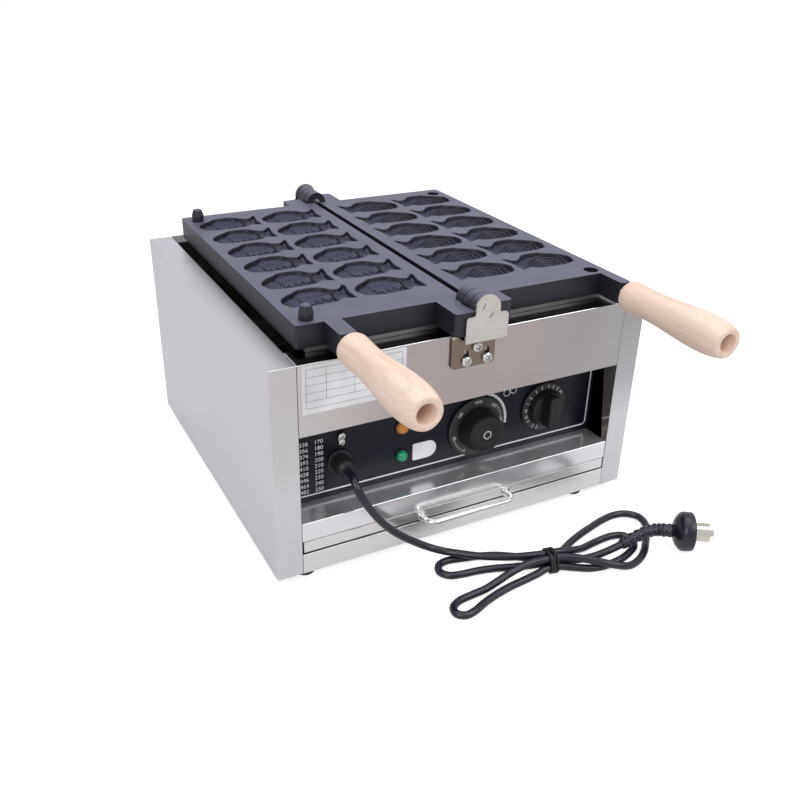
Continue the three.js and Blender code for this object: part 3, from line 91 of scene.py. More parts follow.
TURN, TILT, ROLL = (math.radians(a) for a in (28.38, 27.57, 1.41))
FOCAL_PIXELS, PICTURE_PIXELS, SENSOR_WIDTH = 891.95, 800, 36
CAMERA_PLACE = (-388.1, CASING_FRONT - 584.8, FOOT_HEIGHT + 498.3)
forward = Vector((math.sin(TURN) * math.cos(TILT), math.cos(TURN) * math.cos(TILT), -math.sin(TILT)))
level = Vector((math.cos(TURN), -math.sin(TURN), 0))
above = level.cross(forward)
right_way = math.cos(ROLL) * level + math.sin(ROLL) * above
up_way = -math.sin(ROLL) * level + math.cos(ROLL) * above
camera_data = bpy.data.cameras.new("studio_camera")
camera_data.sensor_width = SENSOR_WIDTH
camera_data.lens = SENSOR_WIDTH * FOCAL_PIXELS / PICTURE_PIXELS
camera_data.clip_start = 0.05
camera_data.clip_end = 30
camera = placed("studio_camera", camera_data)
turned_to = Matrix((right_way, up_way, -forward)).transposed().to_4x4()
place = Vector(CAMERA_PLACE) * MM
camera.matrix_world = Matrix.Translation(place) @ turned_to
bpy.context.scene.camera = camera
print("camera at", [round(c, 3) for c in place], "lens", round(camera_data.lens, 2))

# %% [markdown]
# ## Two small makers
# Almost every piece below is either a section turned about a line or a mesh given point by point.
# `mesh_piece` makes the object, gives it its material, lets it ride on a body of the frame, and marks the
# edges that stay sharp so that the rest can shade smoothly. `stand_for` hides the parts of the frame that a
# piece takes the place of.

# %% Making a piece
def mesh_piece(name, points, faces, body, material=None, sharp=35, smooth=True):
    mesh = bpy.data.meshes.new(name)
    mesh.from_pydata([tuple(c * MM for c in p) for p in points], [], faces)
    mesh.validate()
    mesh.update()
    if smooth:
        mesh.polygons.foreach_set("use_smooth", [True] * len(mesh.polygons))
        mesh.set_sharp_from_angle(angle=math.radians(sharp))
    piece = placed(name, mesh)
    if material:
        mesh.materials.append(material)
    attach(piece, body)
    return piece


def stand_for(piece, slot, *names):
    if names:
        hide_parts(*names)


# %% [markdown]
# ## The mains lead comes first
# The lead leaves its gland, sags to the table and is folded into four loops held by a tie. Its
# middle line is the same list of places that the frame's own lead follows, joined by a curve
# that passes through each of them, so the smooth sheath lies just where the plain one did.

# %% The route of the lead
LEAD = [
    (-116, 8.4, 97), (-116, 2, 97), (-116.8, -5, 94.5), (-115.5, -10.5, 88), (-111.5, -14, 78.5),
    (-104.5, -15.5, 66.5), (-96, -17, 54.5), (-86, -17.5, 43), (-74.5, -18, 32.5), (-62, -19, 23),
    (-49.5, -22, 15.5), (-38, -28.5, 12), (-27, -37.5, 11.8), (-14, -48, 12), (1, -57.5, 12.4),
    (14.5, -64.5, 12.8), (26, -68.6, 12.9),
]
LOOPS = [
    [(60, -76.2, 12), (72, -76, 9), (85, -73.5, 5), (98, -70.5, 3.6), (111, -69, 3.6), (124, -69, 3.6),
     (134, -73, 3.6), (137.5, -82, 3.6), (132, -91, 3.6), (122, -96.5, 3.6), (110, -100.5, 3.6),
     (98, -102, 3.6), (86, -102, 3.6), (74, -99, 3.6), (62, -93.2, 4.4)],
    [(27, -85, 4.3), (12, -86.5, 3.6), (-5, -88.5, 3.6), (-22, -92, 3.6), (-37, -96.5, 3.6),
     (-51, -102, 3.6), (-60, -103, 3.6), (-66, -98, 3.6), (-64.5, -90, 3.6), (-56, -85, 3.6),
     (-42, -83, 3.6), (-27, -82, 4), (-12, -80, 6.5), (5, -78.5, 10.5), (22, -78.2, 12.7)],
    [(59, -87, 12.8), (70.5, -95, 12.4), (82, -104, 11.2), (95, -110.5, 7.8), (109, -112.3, 3.9),
     (124, -108.5, 3.6), (136, -101, 3.6), (146.5, -91, 3.6), (157, -80.5, 3.6), (166, -69, 3.6),
     (168.5, -55.5, 3.6), (160, -45.5, 3.6), (147, -42.5, 3.6), (131, -44.5, 3.6), (114, -49, 3.6),
     (97, -54, 3.6), (80, -60.5, 3.7), (66, -67.5, 4.6)],
    [(32, -63.5, 4.6), (20, -53, 3.6), (6, -44.5, 3.6), (-9, -39, 3.6), (-25, -35, 3.6),
     (-38, -32.5, 3.6), (-47.5, -35.5, 3.6), (-51, -43.5, 3.6), (-46, -51.5, 3.6), (-35, -55, 3.6),
     (-21, -57, 3.6), (-6, -60.5, 3.6), (10, -66, 3.6), (25, -71.8, 4.4)],
]
LAST_RUN = [(60, -81.3, 4.7), (73, -85.5, 4.7), (87, -89, 6.2), (101, -91.2, 9.2), (114, -92.4, 12.4)]
BOOT_RUN = [(121, -92.4, 13.8), (133, -91.8, 15.6), (145, -92.4, 17.2), (153, -94.7, 18.3),
            (158.1, -97.9, 18.5), (166.6, -103.2, 18.5)]
WAIST, WAIST_LOW, WAIST_TURN = (44.6, -77.5), 5.3, math.radians(-12)
WAIST_PITCH, WAIST_RISE, WAIST_STRAIGHT = 3.95, 7.6, 7
CORD_RADIUS, CORD_GAP = 3.5, 0.3


def crossing(slot, way):
    along = (math.cos(WAIST_TURN), math.sin(WAIST_TURN))
    z = WAIST_LOW + (0 if slot % 2 == 0 else WAIST_RISE)
    aside = slot * WAIST_PITCH
    places = []
    for step in (-1, 0, 1):
        run = step * way * WAIST_STRAIGHT
        places.append((WAIST[0] + run * along[0] + aside * along[1],
                       WAIST[1] + run * along[1] - aside * along[0], z))
    return places


route = list(LEAD)
for index, slot in enumerate((-1, 2, 1, -2, 0)):
    route += crossing(slot, 1 if index % 2 == 0 else -1)
    route += LOOPS[index] if index < 4 else LAST_RUN
route = [Vector((x, CASING_FRONT + y, z)) for x, y, z in route]
print(len(route), "places on the route")

# %% [markdown]
# A curve through given places bulges least when the time between two places grows with the root
# of their distance. This is the centripetal form of the Catmull-Rom curve. It is worked out
# here rather than with Blender's own Bezier handles, because the tube and the frame then share
# one exact middle line.

# %% Smooth line and tube
def smooth_line(places, per_span):
    ends = [2 * places[0] - places[1], *places, 2 * places[-1] - places[-2]]
    line = []
    for i in range(1, len(ends) - 2):
        p0, p1, p2, p3 = ends[i - 1:i + 3]
        d0, d1, d2 = (max((b - a).length ** 0.5, 1e-4) for a, b in ((p0, p1), (p1, p2), (p2, p3)))
        t1 = ((p1 - p0) / d0 - (p2 - p0) / (d0 + d1) + (p2 - p1) / d1) * d1
        t2 = ((p2 - p1) / d1 - (p3 - p1) / (d1 + d2) + (p3 - p2) / d2) * d1
        for step in range(per_span):
            s = step / per_span
            line.append((2 * s**3 - 3 * s**2 + 1) * p1 + (s**3 - 2 * s**2 + s) * t1
                        + (3 * s**2 - 2 * s**3) * p2 + (s**3 - s**2) * t2)
    return line + [places[-1].copy()]


def along_line(line, radii, sides):
    """Points and faces of a round body along a line, closed at both ends."""
    points, faces = [], []
    across = None
    for i, here in enumerate(line):
        way = (line[min(i + 1, len(line) - 1)] - line[max(i - 1, 0)]).normalized()
        if across is None:
            across = way.cross(Vector((0, 0, 1)) if abs(way.z) < 0.9 else Vector((1, 0, 0))).normalized()
        across = (across - way * across.dot(way)).normalized()
        over = across.cross(way)
        radius = radii[i] if hasattr(radii, "__len__") else radii
        for side in range(sides):
            angle = 2 * math.pi * side / sides
            points.append(here + across * radius * math.cos(angle) + over * radius * math.sin(angle))
    for ring in range(len(line) - 1):
        for side in range(sides):
            a, b = ring * sides + side, ring * sides + (side + 1) % sides
            faces.append((a, b, b + sides, a + sides))
    last = (len(line) - 1) * sides
    faces.append(tuple(reversed(range(sides))))
    faces.append(tuple(last + side for side in range(sides)))
    return points, faces


def line_length(line):
    return sum((b - a).length for a, b in zip(line, line[1:]))


lead_line = smooth_line(route, 6)
lead_line[0] = Vector((route[0].x, low("cable_gland")[1] - CORD_GAP, route[0].z))
cord = mesh_piece("mains_lead", *along_line(lead_line, CORD_RADIUS, 14), "casing", sharp=60)
stand_for(cord, "cord_pvc", "power_lead", "cord_hank")

# %% [markdown]
# ## Materials
# Each finish is a small tree of nodes on one Principled shader. Patterns are driven by object
# coordinates in metres, so a grain has the same real size on every part. The class `Finish`
# makes the shader and holds a little kit of helpers for adding a pattern to it.

# %% A kit for finishes
MIX_SOCKETS = {"RGBA": (6, 7, 2), "FLOAT": (2, 3, 0)}


def add_node(tree, kind, **settings):
    made = tree.nodes.new(kind)
    for key, value in settings.items():
        if key in made.inputs:
            made.inputs[key].default_value = value
        else:
            setattr(made, key, value)
    return made


class Finish:
    def __init__(self, name, colour, roughness, metal=0.0, **sockets):
        self.material = bpy.data.materials.new(name)
        self.material.use_nodes = True
        self.tree = self.material.node_tree
        self.shader = self.tree.nodes["Principled BSDF"]
        self.set(**{"Base Color": (*colour, 1), "Roughness": roughness, "Metallic": metal}, **sockets)
        self.material.diffuse_color = (*colour, 1)
        self.place = self.node("ShaderNodeTexCoord")

    def set(self, **sockets):
        for key, value in sockets.items():
            self.shader.inputs[key].default_value = value

    def node(self, kind, **settings):
        return add_node(self.tree, kind, **settings)

    def feed(self, socket, value):
        """Joins a pattern to a socket, or writes a plain number or colour into it."""
        if isinstance(value, bpy.types.NodeSocket):
            self.tree.links.new(value, socket)
        else:
            socket.default_value = (*value, 1) if isinstance(value, tuple) else value

    def to(self, socket, value):
        self.feed(self.shader.inputs[socket], value)

    def now(self, socket):
        """The pattern that feeds a socket of the shader so far."""
        return self.shader.inputs[socket].links[0].from_socket

    def part(self, output, axis):
        """One axis of the place or of the normal."""
        made = self.node("ShaderNodeSeparateXYZ")
        self.feed(made.inputs[0], self.place.outputs[output])
        return made.outputs[axis]

    def noise(self, scale, size, detail=3.0, rough=0.55):
        """Noise in object coordinates, stretched or squeezed along each axis."""
        mapping = self.node("ShaderNodeMapping", Scale=scale)
        self.feed(mapping.inputs["Vector"], self.place.outputs["Object"])
        made = self.node("ShaderNodeTexNoise", Scale=size, Detail=detail, Roughness=rough)
        self.feed(made.inputs["Vector"], mapping.outputs["Vector"])
        return made.outputs["Fac"]

    def rings(self, around, size, distortion, detail, detail_scale=1.0):
        """Wavy rings round one axis of the object."""
        made = self.node("ShaderNodeTexWave", wave_type="RINGS", rings_direction=around, Scale=size,
                         Distortion=distortion, Detail=detail, **{"Detail Scale": detail_scale})
        self.feed(made.inputs["Vector"], self.place.outputs["Object"])
        return made.outputs["Fac"]

    def spread(self, value, low_value, high_value, start=0.3, end=0.7):
        """Maps a pattern onto a range of numbers."""
        limits = {"From Min": start, "From Max": end, "To Min": low_value, "To Max": high_value}
        made = self.node("ShaderNodeMapRange", **limits)
        self.feed(made.inputs["Value"], value)
        return made.outputs["Result"]

    def combine(self, operation, first, second):
        made = self.node("ShaderNodeMath", operation=operation)
        self.feed(made.inputs[0], first)
        self.feed(made.inputs[1], second)
        return made.outputs[0]

    def mix(self, share, first, second, kind="RGBA", blend="MIX"):
        """Runs from first to second, two colours or two numbers, as the share goes from 0 to 1."""
        made = self.node("ShaderNodeMix", data_type=kind, blend_type=blend)
        from_socket, to_socket, result = MIX_SOCKETS[kind]
        self.feed(made.inputs[0], share)
        self.feed(made.inputs[from_socket], first)
        self.feed(made.inputs[to_socket], second)
        return made.outputs[result]

    def bump(self, value, height, strength):
        made = self.node("ShaderNodeBump", Strength=strength, Distance=height)
        self.feed(made.inputs["Height"], value)
        self.to("Normal", made.outputs["Normal"])


def shade(colour, factor):
    return tuple(min(c * factor, 1) for c in colour)


# %% [markdown]
# ### Brushed stainless
# A brushed sheet has hairlines that run one way and are far longer than they are wide. Noise
# that is squeezed across the grain and drawn out along it gives them. The hairlines change the
# roughness more than the colour, and a much larger cloud keeps a broad face from looking dead.
# A sheet also mirrors the room, which is darker high up. That reflection is painted into the colour: one
# helper paints slow changes of tone along one axis as painted reflection and shade, and another paints faces
# that look another way with a painted tone of light or shade of their own.

# %% Stainless finishes
def brushed(name, colour, roughness, grain, metal=1.0):
    finish = Finish(name, colour, roughness, metal)
    lines = finish.noise(grain, 9.0, 5.0, 0.65)
    cloud = finish.noise((1, 1, 1), 7.0, 2.0)
    both = finish.spread(finish.combine("MULTIPLY", lines, cloud), 0, 1, 0.12, 0.42)
    finish.to("Roughness", finish.spread(lines, roughness - 0.03, roughness + 0.04))
    finish.to("Base Color", finish.mix(both, shade(colour, 0.96), shade(colour, 1.03)))
    finish.bump(lines, 0.00002, 0.15)
    return finish


def paint_light_by_facing(finish, axis, start, end, colour, roughness):
    """Painted light or shade: another colour and roughness where the normal's part along one axis runs from
    start to end.
    """
    share = finish.spread(finish.part("Normal", axis), 0, 1, start, end)
    finish.to("Base Color", finish.mix(share, finish.now("Base Color"), colour))
    finish.to("Roughness", finish.mix(share, finish.now("Roughness"), roughness, "FLOAT"))


def paint_light_along(finish, axis, start, end, stops, facing=None):
    """Multiplies the colour by painted reflection and shade that change along one axis, if asked only on
    front faces.
    """
    ramp = finish.node("ShaderNodeValToRGB")
    while len(ramp.color_ramp.elements) < len(stops):
        ramp.color_ramp.elements.new(0.5)
    for element, (position, tone) in zip(ramp.color_ramp.elements, stops):
        element.position = position
        element.color = (*tone, 1)
    finish.feed(ramp.inputs[0], finish.spread(finish.part("Object", axis), 0, 1, start, end))
    share = finish.spread(finish.part("Normal", facing), 0, 1, -0.6, -0.9) if facing else 1
    toned = finish.mix(share, finish.now("Base Color"), ramp.outputs[0], blend="MULTIPLY")
    finish.to("Base Color", toned)


# %% [markdown]
# The sides, the front and the back are of the same sheet, with a level grain. Seen from the camera the left
# side pales toward the floor, the front darkens from its left end on, and its narrow ledges catch the light.
# These are reflection and shade, and they are painted into the colour: each sheet gets a ramp of painted
# tones over one of its axes, and the ledges a painted highlight.

# %% Steel of the sheets
ALONG_X, ALONG_Y = (3, 160, 160), (160, 3, 160)
CASING_LOW, CASING_HIGH, CASING_SIDE = 0.01, 0.211, 0.165
SIDE_STEEL, SIDE_ROUGHNESS = (0.66, 0.65, 0.67), 0.36
# Painted reflection and shade: tones that multiply the colour, full near the floor and darker higher up on
# the casing's front faces, and darker from the left end on along the front.
SIDE_PAINTED_LIGHT = [(0, (1, 1, 1)), (0.4, (0.99, 0.98, 0.98)), (0.55, (0.89, 0.87, 0.85)),
              (1, (0.85, 0.82, 0.8))]
RECESS_PAINTED_LIGHT = [(0, (1, 0.98, 1)), (0.4, (1, 0.97, 0.98)), (0.62, (0.69, 0.67, 0.68)),
                (1, (0.57, 0.55, 0.52))]
FRONT_PAINTED_LIGHT = [(0, (1, 1, 1)), (0.1, (0.95, 0.94, 0.93)), (0.28, (0.75, 0.7, 0.68)),
               (0.6, (0.73, 0.69, 0.67)), (0.85, (0.67, 0.67, 0.67)), (1, (0.71, 0.73, 0.76))]
side_finish = brushed("side_steel", SIDE_STEEL, SIDE_ROUGHNESS, ALONG_Y)
paint_light_along(side_finish, "Z", CASING_LOW, CASING_HIGH, SIDE_PAINTED_LIGHT, "Y")
recess_finish = brushed("right_side_steel", SIDE_STEEL, SIDE_ROUGHNESS, ALONG_Y)
paint_light_along(recess_finish, "Z", CASING_LOW, CASING_HIGH, RECESS_PAINTED_LIGHT, "Y")
# Painted reflection: the recess's inner wall, facing -x, gets a darker brown colour along with its lower
# roughness.
paint_light_by_facing(recess_finish, "X", -0.4, -0.8, (0.5, 0.44, 0.41), 0.1)
recess_finish.set(Metallic=0.86)
# The front and back are the same sheet as the sides; their darker, browner base colour is painted reflection
# and shade.
front_finish = brushed("front_steel", (0.56, 0.52, 0.51), 0.3, ALONG_X)
paint_light_along(front_finish, "X", -CASING_SIDE, CASING_SIDE, FRONT_PAINTED_LIGHT)
# Painted highlight: the rounded ledges between the front and top faces get a near-white colour.
paint_light_by_facing(front_finish, "Z", 0.12, 0.3, (0.97, 0.96, 0.95), 0.22)
# Painted reflection: faces that look straight up get a dark colour, the dark castings above mirrored in the
# flange.
paint_light_by_facing(front_finish, "Z", 0.9, 0.97, (0.1, 0.095, 0.095), 0.16)
shelf_steel = brushed("shelf_steel", (0.82, 0.8, 0.82), 0.2, ALONG_X, 0.8).material
tray_steel = brushed("tray_steel", (0.76, 0.735, 0.735), 0.28, ALONG_X).material
inner_steel = brushed("inner_steel", (0.42, 0.41, 0.4), 0.38, ALONG_X).material
print("sheet steels ready")

# %% [markdown]
# The hinge bracket is bright above the casing; its tab below is painted a dark bronze, which is painted shade
# and a painted reflection of the dark castings above it. Two materials would need a cut in the mesh at the
# border. One material does both, because the height of a point can choose between two colours.

# %% Bracket steel
def painted_shade_below(name, upper, lower, border):
    """Bright above the border height, painted with shade and a dark reflection below it."""
    finish = Finish(name, upper, 0.34, 1.0)
    below = finish.spread(finish.part("Object", "Z"), 1, 0, border - 0.001, border + 0.001)
    swirl = finish.rings("X", 30.0, 16.0, 4.0)
    plain = finish.mix(swirl, shade(upper, 0.95), shade(upper, 1.03))
    finish.to("Roughness", finish.spread(finish.noise((1, 1, 1), 90.0), 0.24, 0.4))
    finish.to("Base Color", finish.mix(below, plain, lower))
    return finish.material


# Painted shade: below the border the tab gets a dark bronze colour for the shade and the dark reflection
# under the plates.
bracket_steel = painted_shade_below("bracket_steel", (0.56, 0.53, 0.49), (0.2, 0.155, 0.125), 0.2085)
print("bracket steel ready")

# %% [markdown]
# ### Coated castings
# The mould plates are cast aluminium with a baked non-stick coat: almost black with a violet cast, silky
# rather than glossy, with the faint orange peel of a sprayed film over the grain of the sand casting. Faces
# that look up get a paler colour, painted light from above, and steep walls stay dark. The height of the
# surface normal is all that this needs.

# %% Plate coating
def coated(name, wall, painted_top_colour, roughness, gloss, steepest, flattest):
    finish = Finish(name, wall, roughness, 0.0, **{"Specular IOR Level": gloss})
    peel = finish.noise((1, 1, 1), 900.0, 3.0, 0.6)
    cloud = finish.noise((1, 1, 1), 26.0, 3.0, 0.5)
    finish.to("Roughness", finish.spread(peel, roughness - 0.04, roughness + 0.06))
    # Painted light: faces that look up get a paler colour, light from above painted on, with a random cloud
    # in it.
    up = finish.spread(finish.part("Normal", "Z"), 0, 1, steepest, flattest)
    painted_top_light = finish.mix(finish.spread(cloud, 0, 1), shade(painted_top_colour, 0.9), shade(painted_top_colour, 1.12))
    finish.to("Base Color", finish.mix(up, wall, painted_top_light))
    finish.bump(peel, 0.0001, 0.25)
    return finish.material


plate_coating = coated("plate_coating", (0.012, 0.012, 0.02), (0.1, 0.1, 0.145), 0.42, 0.45, 0.55, 0.97)
# Painted shade: the pockets' coat is a darker copy of the plate's coat.
pocket_shade_coating = coated("pocket_shade_coating", (0.004, 0.004, 0.01), (0.04, 0.044, 0.08), 0.38, 0.28, 0.6, 0.995)
print("coating ready")

# %% [markdown]
# ### Beech grips
# Turned beech is pale and pinkish, with broad faint bands, the thin lines of the year rings and
# short dark flecks, its rays. Noise drawn out along the grip's length makes the bands, wavy
# rings round the grip's axis the lines, and a finer, sharper noise the flecks. The wood is only
# sanded, so it stays dull.

# %% Beech
def beech(name):
    finish = Finish(name, (0.83, 0.6, 0.43), 0.58)
    bands = finish.spread(finish.noise((70, 5, 70), 1.6, 4.0, 0.6), 0, 1, 0.35, 0.65)
    flecks = finish.noise((900, 60, 900), 1.0, 2.0, 0.5)
    years = finish.spread(finish.rings("Y", 110, 4.5, 3.0, 0.5), 0, 0.38, 0.55, 0.95)
    grain = finish.combine("MAXIMUM", years, finish.spread(flecks, 0, 1, 0.58, 0.78))
    pale = finish.mix(bands, (0.93, 0.745, 0.63), (0.83, 0.62, 0.49))
    finish.to("Base Color", finish.mix(grain, pale, (0.88, 0.81, 0.76), blend="MULTIPLY"))
    finish.bump(flecks, 0.00015, 0.35)
    return finish.material


grip_beech = beech("grip_beech")
print("beech ready")

# %% [markdown]
# ### Plastics, rubber and small metal
# Moulded plastic has a fine even grain and only a faint cloud in its colour. Screws and hinge
# pins are zinc plated, the tray's pull is chromed, and the feet are dull rubber.

# %% Small finishes
def moulded(name, colour, roughness, grain=1400.0, **sockets):
    finish = Finish(name, colour, roughness, **sockets)
    speck = finish.noise((1, 1, 1), grain, 2.0)
    cloud = finish.noise((1, 1, 1), 40.0, 2.0)
    finish.to("Roughness", finish.spread(cloud, roughness - 0.04, roughness + 0.05))
    clouds = finish.mix(finish.spread(cloud, 0, 1), shade(colour, 0.9), shade(colour, 1.15))
    finish.to("Base Color", clouds)
    finish.bump(speck, 0.00006, 0.25)
    return finish.material


def plated(name, colour, roughness):
    finish = Finish(name, colour, roughness, 1.0)
    wear = finish.noise((1, 1, 1), 500.0, 3.0)
    finish.to("Roughness", finish.spread(wear, roughness - 0.06, roughness + 0.1))
    finish.to("Base Color", finish.mix(finish.spread(wear, 0, 1), shade(colour, 0.88), colour))
    return finish.material


matt = {"Specular IOR Level": 0.28}
knob_plastic = moulded("knob_plastic", (0.012, 0.012, 0.015), 0.36, **matt)
skirt_plastic = moulded("skirt_plastic", (0.035, 0.035, 0.038), 0.42, **matt)
fascia_black = moulded("fascia_black", (0.008, 0.008, 0.017), 0.33, 2200.0, **{"Specular IOR Level": 0.2})
gland_plastic = moulded("gland_plastic", (0.01, 0.01, 0.013), 0.42)
cord_pvc = moulded("cord_pvc", (0.009, 0.009, 0.02), 0.24, 900.0, **{"Specular IOR Level": 0.5})
foot_rubber = moulded("foot_rubber", (0.012, 0.012, 0.012), 0.7)
amber_lens = moulded("amber_lens", (0.72, 0.26, 0.03), 0.16, 300.0)
green_lens = moulded("green_lens", (0.0, 0.36, 0.17), 0.16, 300.0)
print_white = moulded("print_white", (0.86, 0.87, 0.89), 0.5)
print_grey = moulded("print_grey", (0.2, 0.2, 0.22), 0.5)
label_paper = moulded("label_paper", (0.8, 0.8, 0.82), 0.42)
zinc = plated("zinc", (0.62, 0.61, 0.58), 0.24)
chrome = plated("chrome", (0.78, 0.77, 0.75), 0.09)
blade_metal = plated("blade_metal", (0.66, 0.62, 0.54), 0.22)
element_steel = plated("element_steel", (0.16, 0.165, 0.15), 0.45)
cord.data.materials.append(cord_pvc)
print("small finishes ready")

# %% [markdown]
# ## Dressing the frame's own parts
# A part whose shape is already right keeps its mesh and only gets a finish. Folded sheet never
# has knife edges, so three modifiers round them: Weld joins the corners, Decimate makes whole
# faces of the triangles, and Bevel lays a small round along each edge. The edge then catches a
# thin highlight, which is what tells folded steel from cut card. The parts that are made anew
# further down are left out here.

# %% Finishes and softened edges
def soften(piece, width, segments, angle, harden=False):
    """Lays a small round along each edge that turns by more than the angle."""
    bevel = piece.modifiers.new("soft_edge", "BEVEL")
    bevel.width = width * MM
    bevel.segments = segments
    bevel.limit_method = "ANGLE"
    bevel.angle_limit = math.radians(angle)
    bevel.harden_normals = harden


def dress(part, material, edge=0.0, sharp=35):
    part.data.materials.clear()
    part.data.materials.append(material)
    part.data.polygons.foreach_set("material_index", [0] * len(part.data.polygons))
    if edge:
        weld = part.modifiers.new("weld", "WELD")
        weld.merge_threshold = 0.00001
        flat = part.modifiers.new("whole_faces", "DECIMATE")
        flat.decimate_type = "DISSOLVE"
        flat.angle_limit = math.radians(1)
        soften(part, edge, 3, sharp)


DRESSES = [
    (side_finish.material, 0.8, 35, "side_panel_left"),
    (recess_finish.material, 0.8, 35, "side_panel_right"),
    (front_finish.material, 0.7, 35, "front_panel back_panel"),
    (shelf_steel, 0.7, 35, "control_shelf"),
    (tray_steel, 0.3, 35, "bottom_rail"),
    (inner_steel, 0, 35, "base_plate heat_shield tray_runner_left tray_runner_right"
                         " element_rail_front element_rail_rear plate_rest_front plate_rest_rear"),
    (bracket_steel, 0.4, 35, "hinge_bracket_front hinge_bracket_rear"),
    (fascia_black, 0, 35, "control_panel"),
    (gland_plastic, 0, 35, "thermostat_body timer_body terminal_block"),
    (element_steel, 0, 35, "heating_element_left heating_element_right"),
    (zinc, 0, 35, "thermostat_bulb hinge_pin_front hinge_pin_rear left_handle_bolt"
                  " right_handle_bolt"),
    (plate_coating, 0.8, 25, "locating_peg_front locating_peg_rear"),
    (zinc, 0.4, 35, "left_handle_nut right_handle_nut"),
]
dressed = 0
for material, edge, sharp, names in DRESSES:
    for name in names.split():
        dress(nodes[name], material, edge, sharp)
        dressed += 1
print("dressed", dressed, "of", len(nodes), "frame parts; the others are made anew")

# %% [markdown]
# ## Turned pieces
# Grips, knobs, lamps and the plug's disc are all a profile turned about a line. The profile is a
# list of radius and place pairs. `eased` rounds a coarse profile with a smooth line first.

# %% Turning
def eased(profile, per_span=6):
    line = smooth_line([Vector((r, p, 0)) for r, p in profile], per_span)
    return [(max(v.x, 0.0), v.y) for v in line]


def turned(name, profile, x, z, body, material, segments=72, sharp=35, material_of=None):
    """Turns a profile of radius and place along y about the line through x, z."""
    points, faces = [], []
    rings = []
    for radius, y in profile:
        if radius < 1e-6:
            rings.append([len(points)])
            points.append((x, y, z))
            continue
        rings.append(list(range(len(points), len(points) + segments)))
        for step in range(segments):
            angle = 2 * math.pi * step / segments
            points.append((x + radius * math.cos(angle), y, z + radius * math.sin(angle)))
    for first, second in zip(rings, rings[1:]):
        for step in range(segments):
            after = (step + 1) % segments
            if len(first) == 1 and len(second) == 1:
                continue
            if len(first) == 1:
                faces.append((first[0], second[step], second[after]))
            elif len(second) == 1:
                faces.append((first[step], second[0], first[after]))
            else:
                faces.append((first[step], second[step], second[after], first[after]))
    return mesh_piece(name, points, faces, body, material, sharp)


# %% [markdown]
# ## Wooden grips
# The grip swells toward its outer end, like a chisel handle, and is bored there for the long
# bolt. Turned in 72 steps it has no visible flats, and the rim of the bore is eased with a small
# round, as sandpaper leaves it.

# %% Grips
GRIP_ROOT, GRIP_LENGTH, GRIP_BORE, BORE_DEPTH, BOLT_BORE = 14.2, 118, 8, 32, 4.35
GRIP_SHARES = [(0.03, 1), (0.12, 0.97), (0.24, 0.94), (0.4, 0.99), (0.56, 1.09), (0.7, 1.155),
               (0.8, 1.165), (0.88, 1.13), (0.95, 1.04)]
GRIP_X = {"left": -124, "right": 150.5}
grip_back = high("left_grip")[1]
grip_height = (low("left_grip")[2] + high("left_grip")[2]) / 2
grip_front = grip_back - GRIP_LENGTH
for side, x in GRIP_X.items():
    skin = eased([(GRIP_ROOT * share, grip_back - GRIP_LENGTH * place) for place, share in GRIP_SHARES])
    root = [(BOLT_BORE, grip_back), (GRIP_ROOT * 0.9, grip_back), (GRIP_ROOT * 0.96, grip_back - 1)]
    face = [(GRIP_ROOT * share, grip_front + depth)
            for share, depth in ((0.97, 2.6), (0.93, 1.1), (0.87, 0.3), (0.82, 0))]
    face += [(GRIP_BORE + more, grip_front + depth) for more, depth in ((0.8, 0), (0.2, 0.3), (0, 1))]
    bore = [(GRIP_BORE, grip_front + BORE_DEPTH), (BOLT_BORE, grip_front + BORE_DEPTH),
            (BOLT_BORE, grip_back)]
    grip = turned(f"{side}_beech_grip", root + skin + face + bore, x, grip_height, f"{side}_plate",
                  grip_beech)
    stand_for(grip, "beech_wood", f"{side}_grip")
print("grips", GRIP_LENGTH, "mm long")

# %% [markdown]
# ## Knobs
# The thermostat knob is a tapered drum on a flat skirt, the timer knob a bar across a drum. Both
# drums are turned profiles with eased edges. The bar is a rounded outline pushed forward, and a
# Bevel modifier takes the edge off it, which is quicker than modelling the round by hand. The
# profiles are written as radius and height over the panel. The skirt, the largest piece of each
# knob, is the one that takes the place of the frame's plain knob.

# %% Knobs
THERMOSTAT, TIMER = (26, FOOT_HEIGHT + 88), (103, FOOT_HEIGHT + 92)
knob_back = high("thermostat_knob")[1]


def pushed(name, outline, y_front, y_back, body, material, edge=0.0, segments=3):
    """An outline of x, z corners pushed along y, with an optional bevel."""
    count = len(outline)
    points = [(x, y_front, z) for x, z in outline] + [(x, y_back, z) for x, z in outline]
    faces = [tuple(range(count)), tuple(reversed(range(count, 2 * count)))]
    faces += [(i, i + count, (i + 1) % count + count, (i + 1) % count) for i in range(count)]
    piece = mesh_piece(name, points, faces, body, material)
    if edge:
        soften(piece, edge, segments, 40, harden=True)
    return piece


def rounded_outline(x0, x1, z0, z1, radius, steps=6, left_radius=None):
    left = radius if left_radius is None else left_radius
    outline = []
    corners = ((x1 - radius, z0 + radius, -90, radius), (x1 - radius, z1 - radius, 0, radius),
               (x0 + left, z1 - left, 90, left), (x0 + left, z0 + left, 180, left))
    for cx, cz, start, r in corners:
        for step in range(steps + 1):
            angle = math.radians(start + 90 * step / steps)
            outline.append((cx + r * math.cos(angle), cz + r * math.sin(angle)))
    return outline


def back_by(profile, place):
    return [(radius, place - depth) for radius, depth in profile]


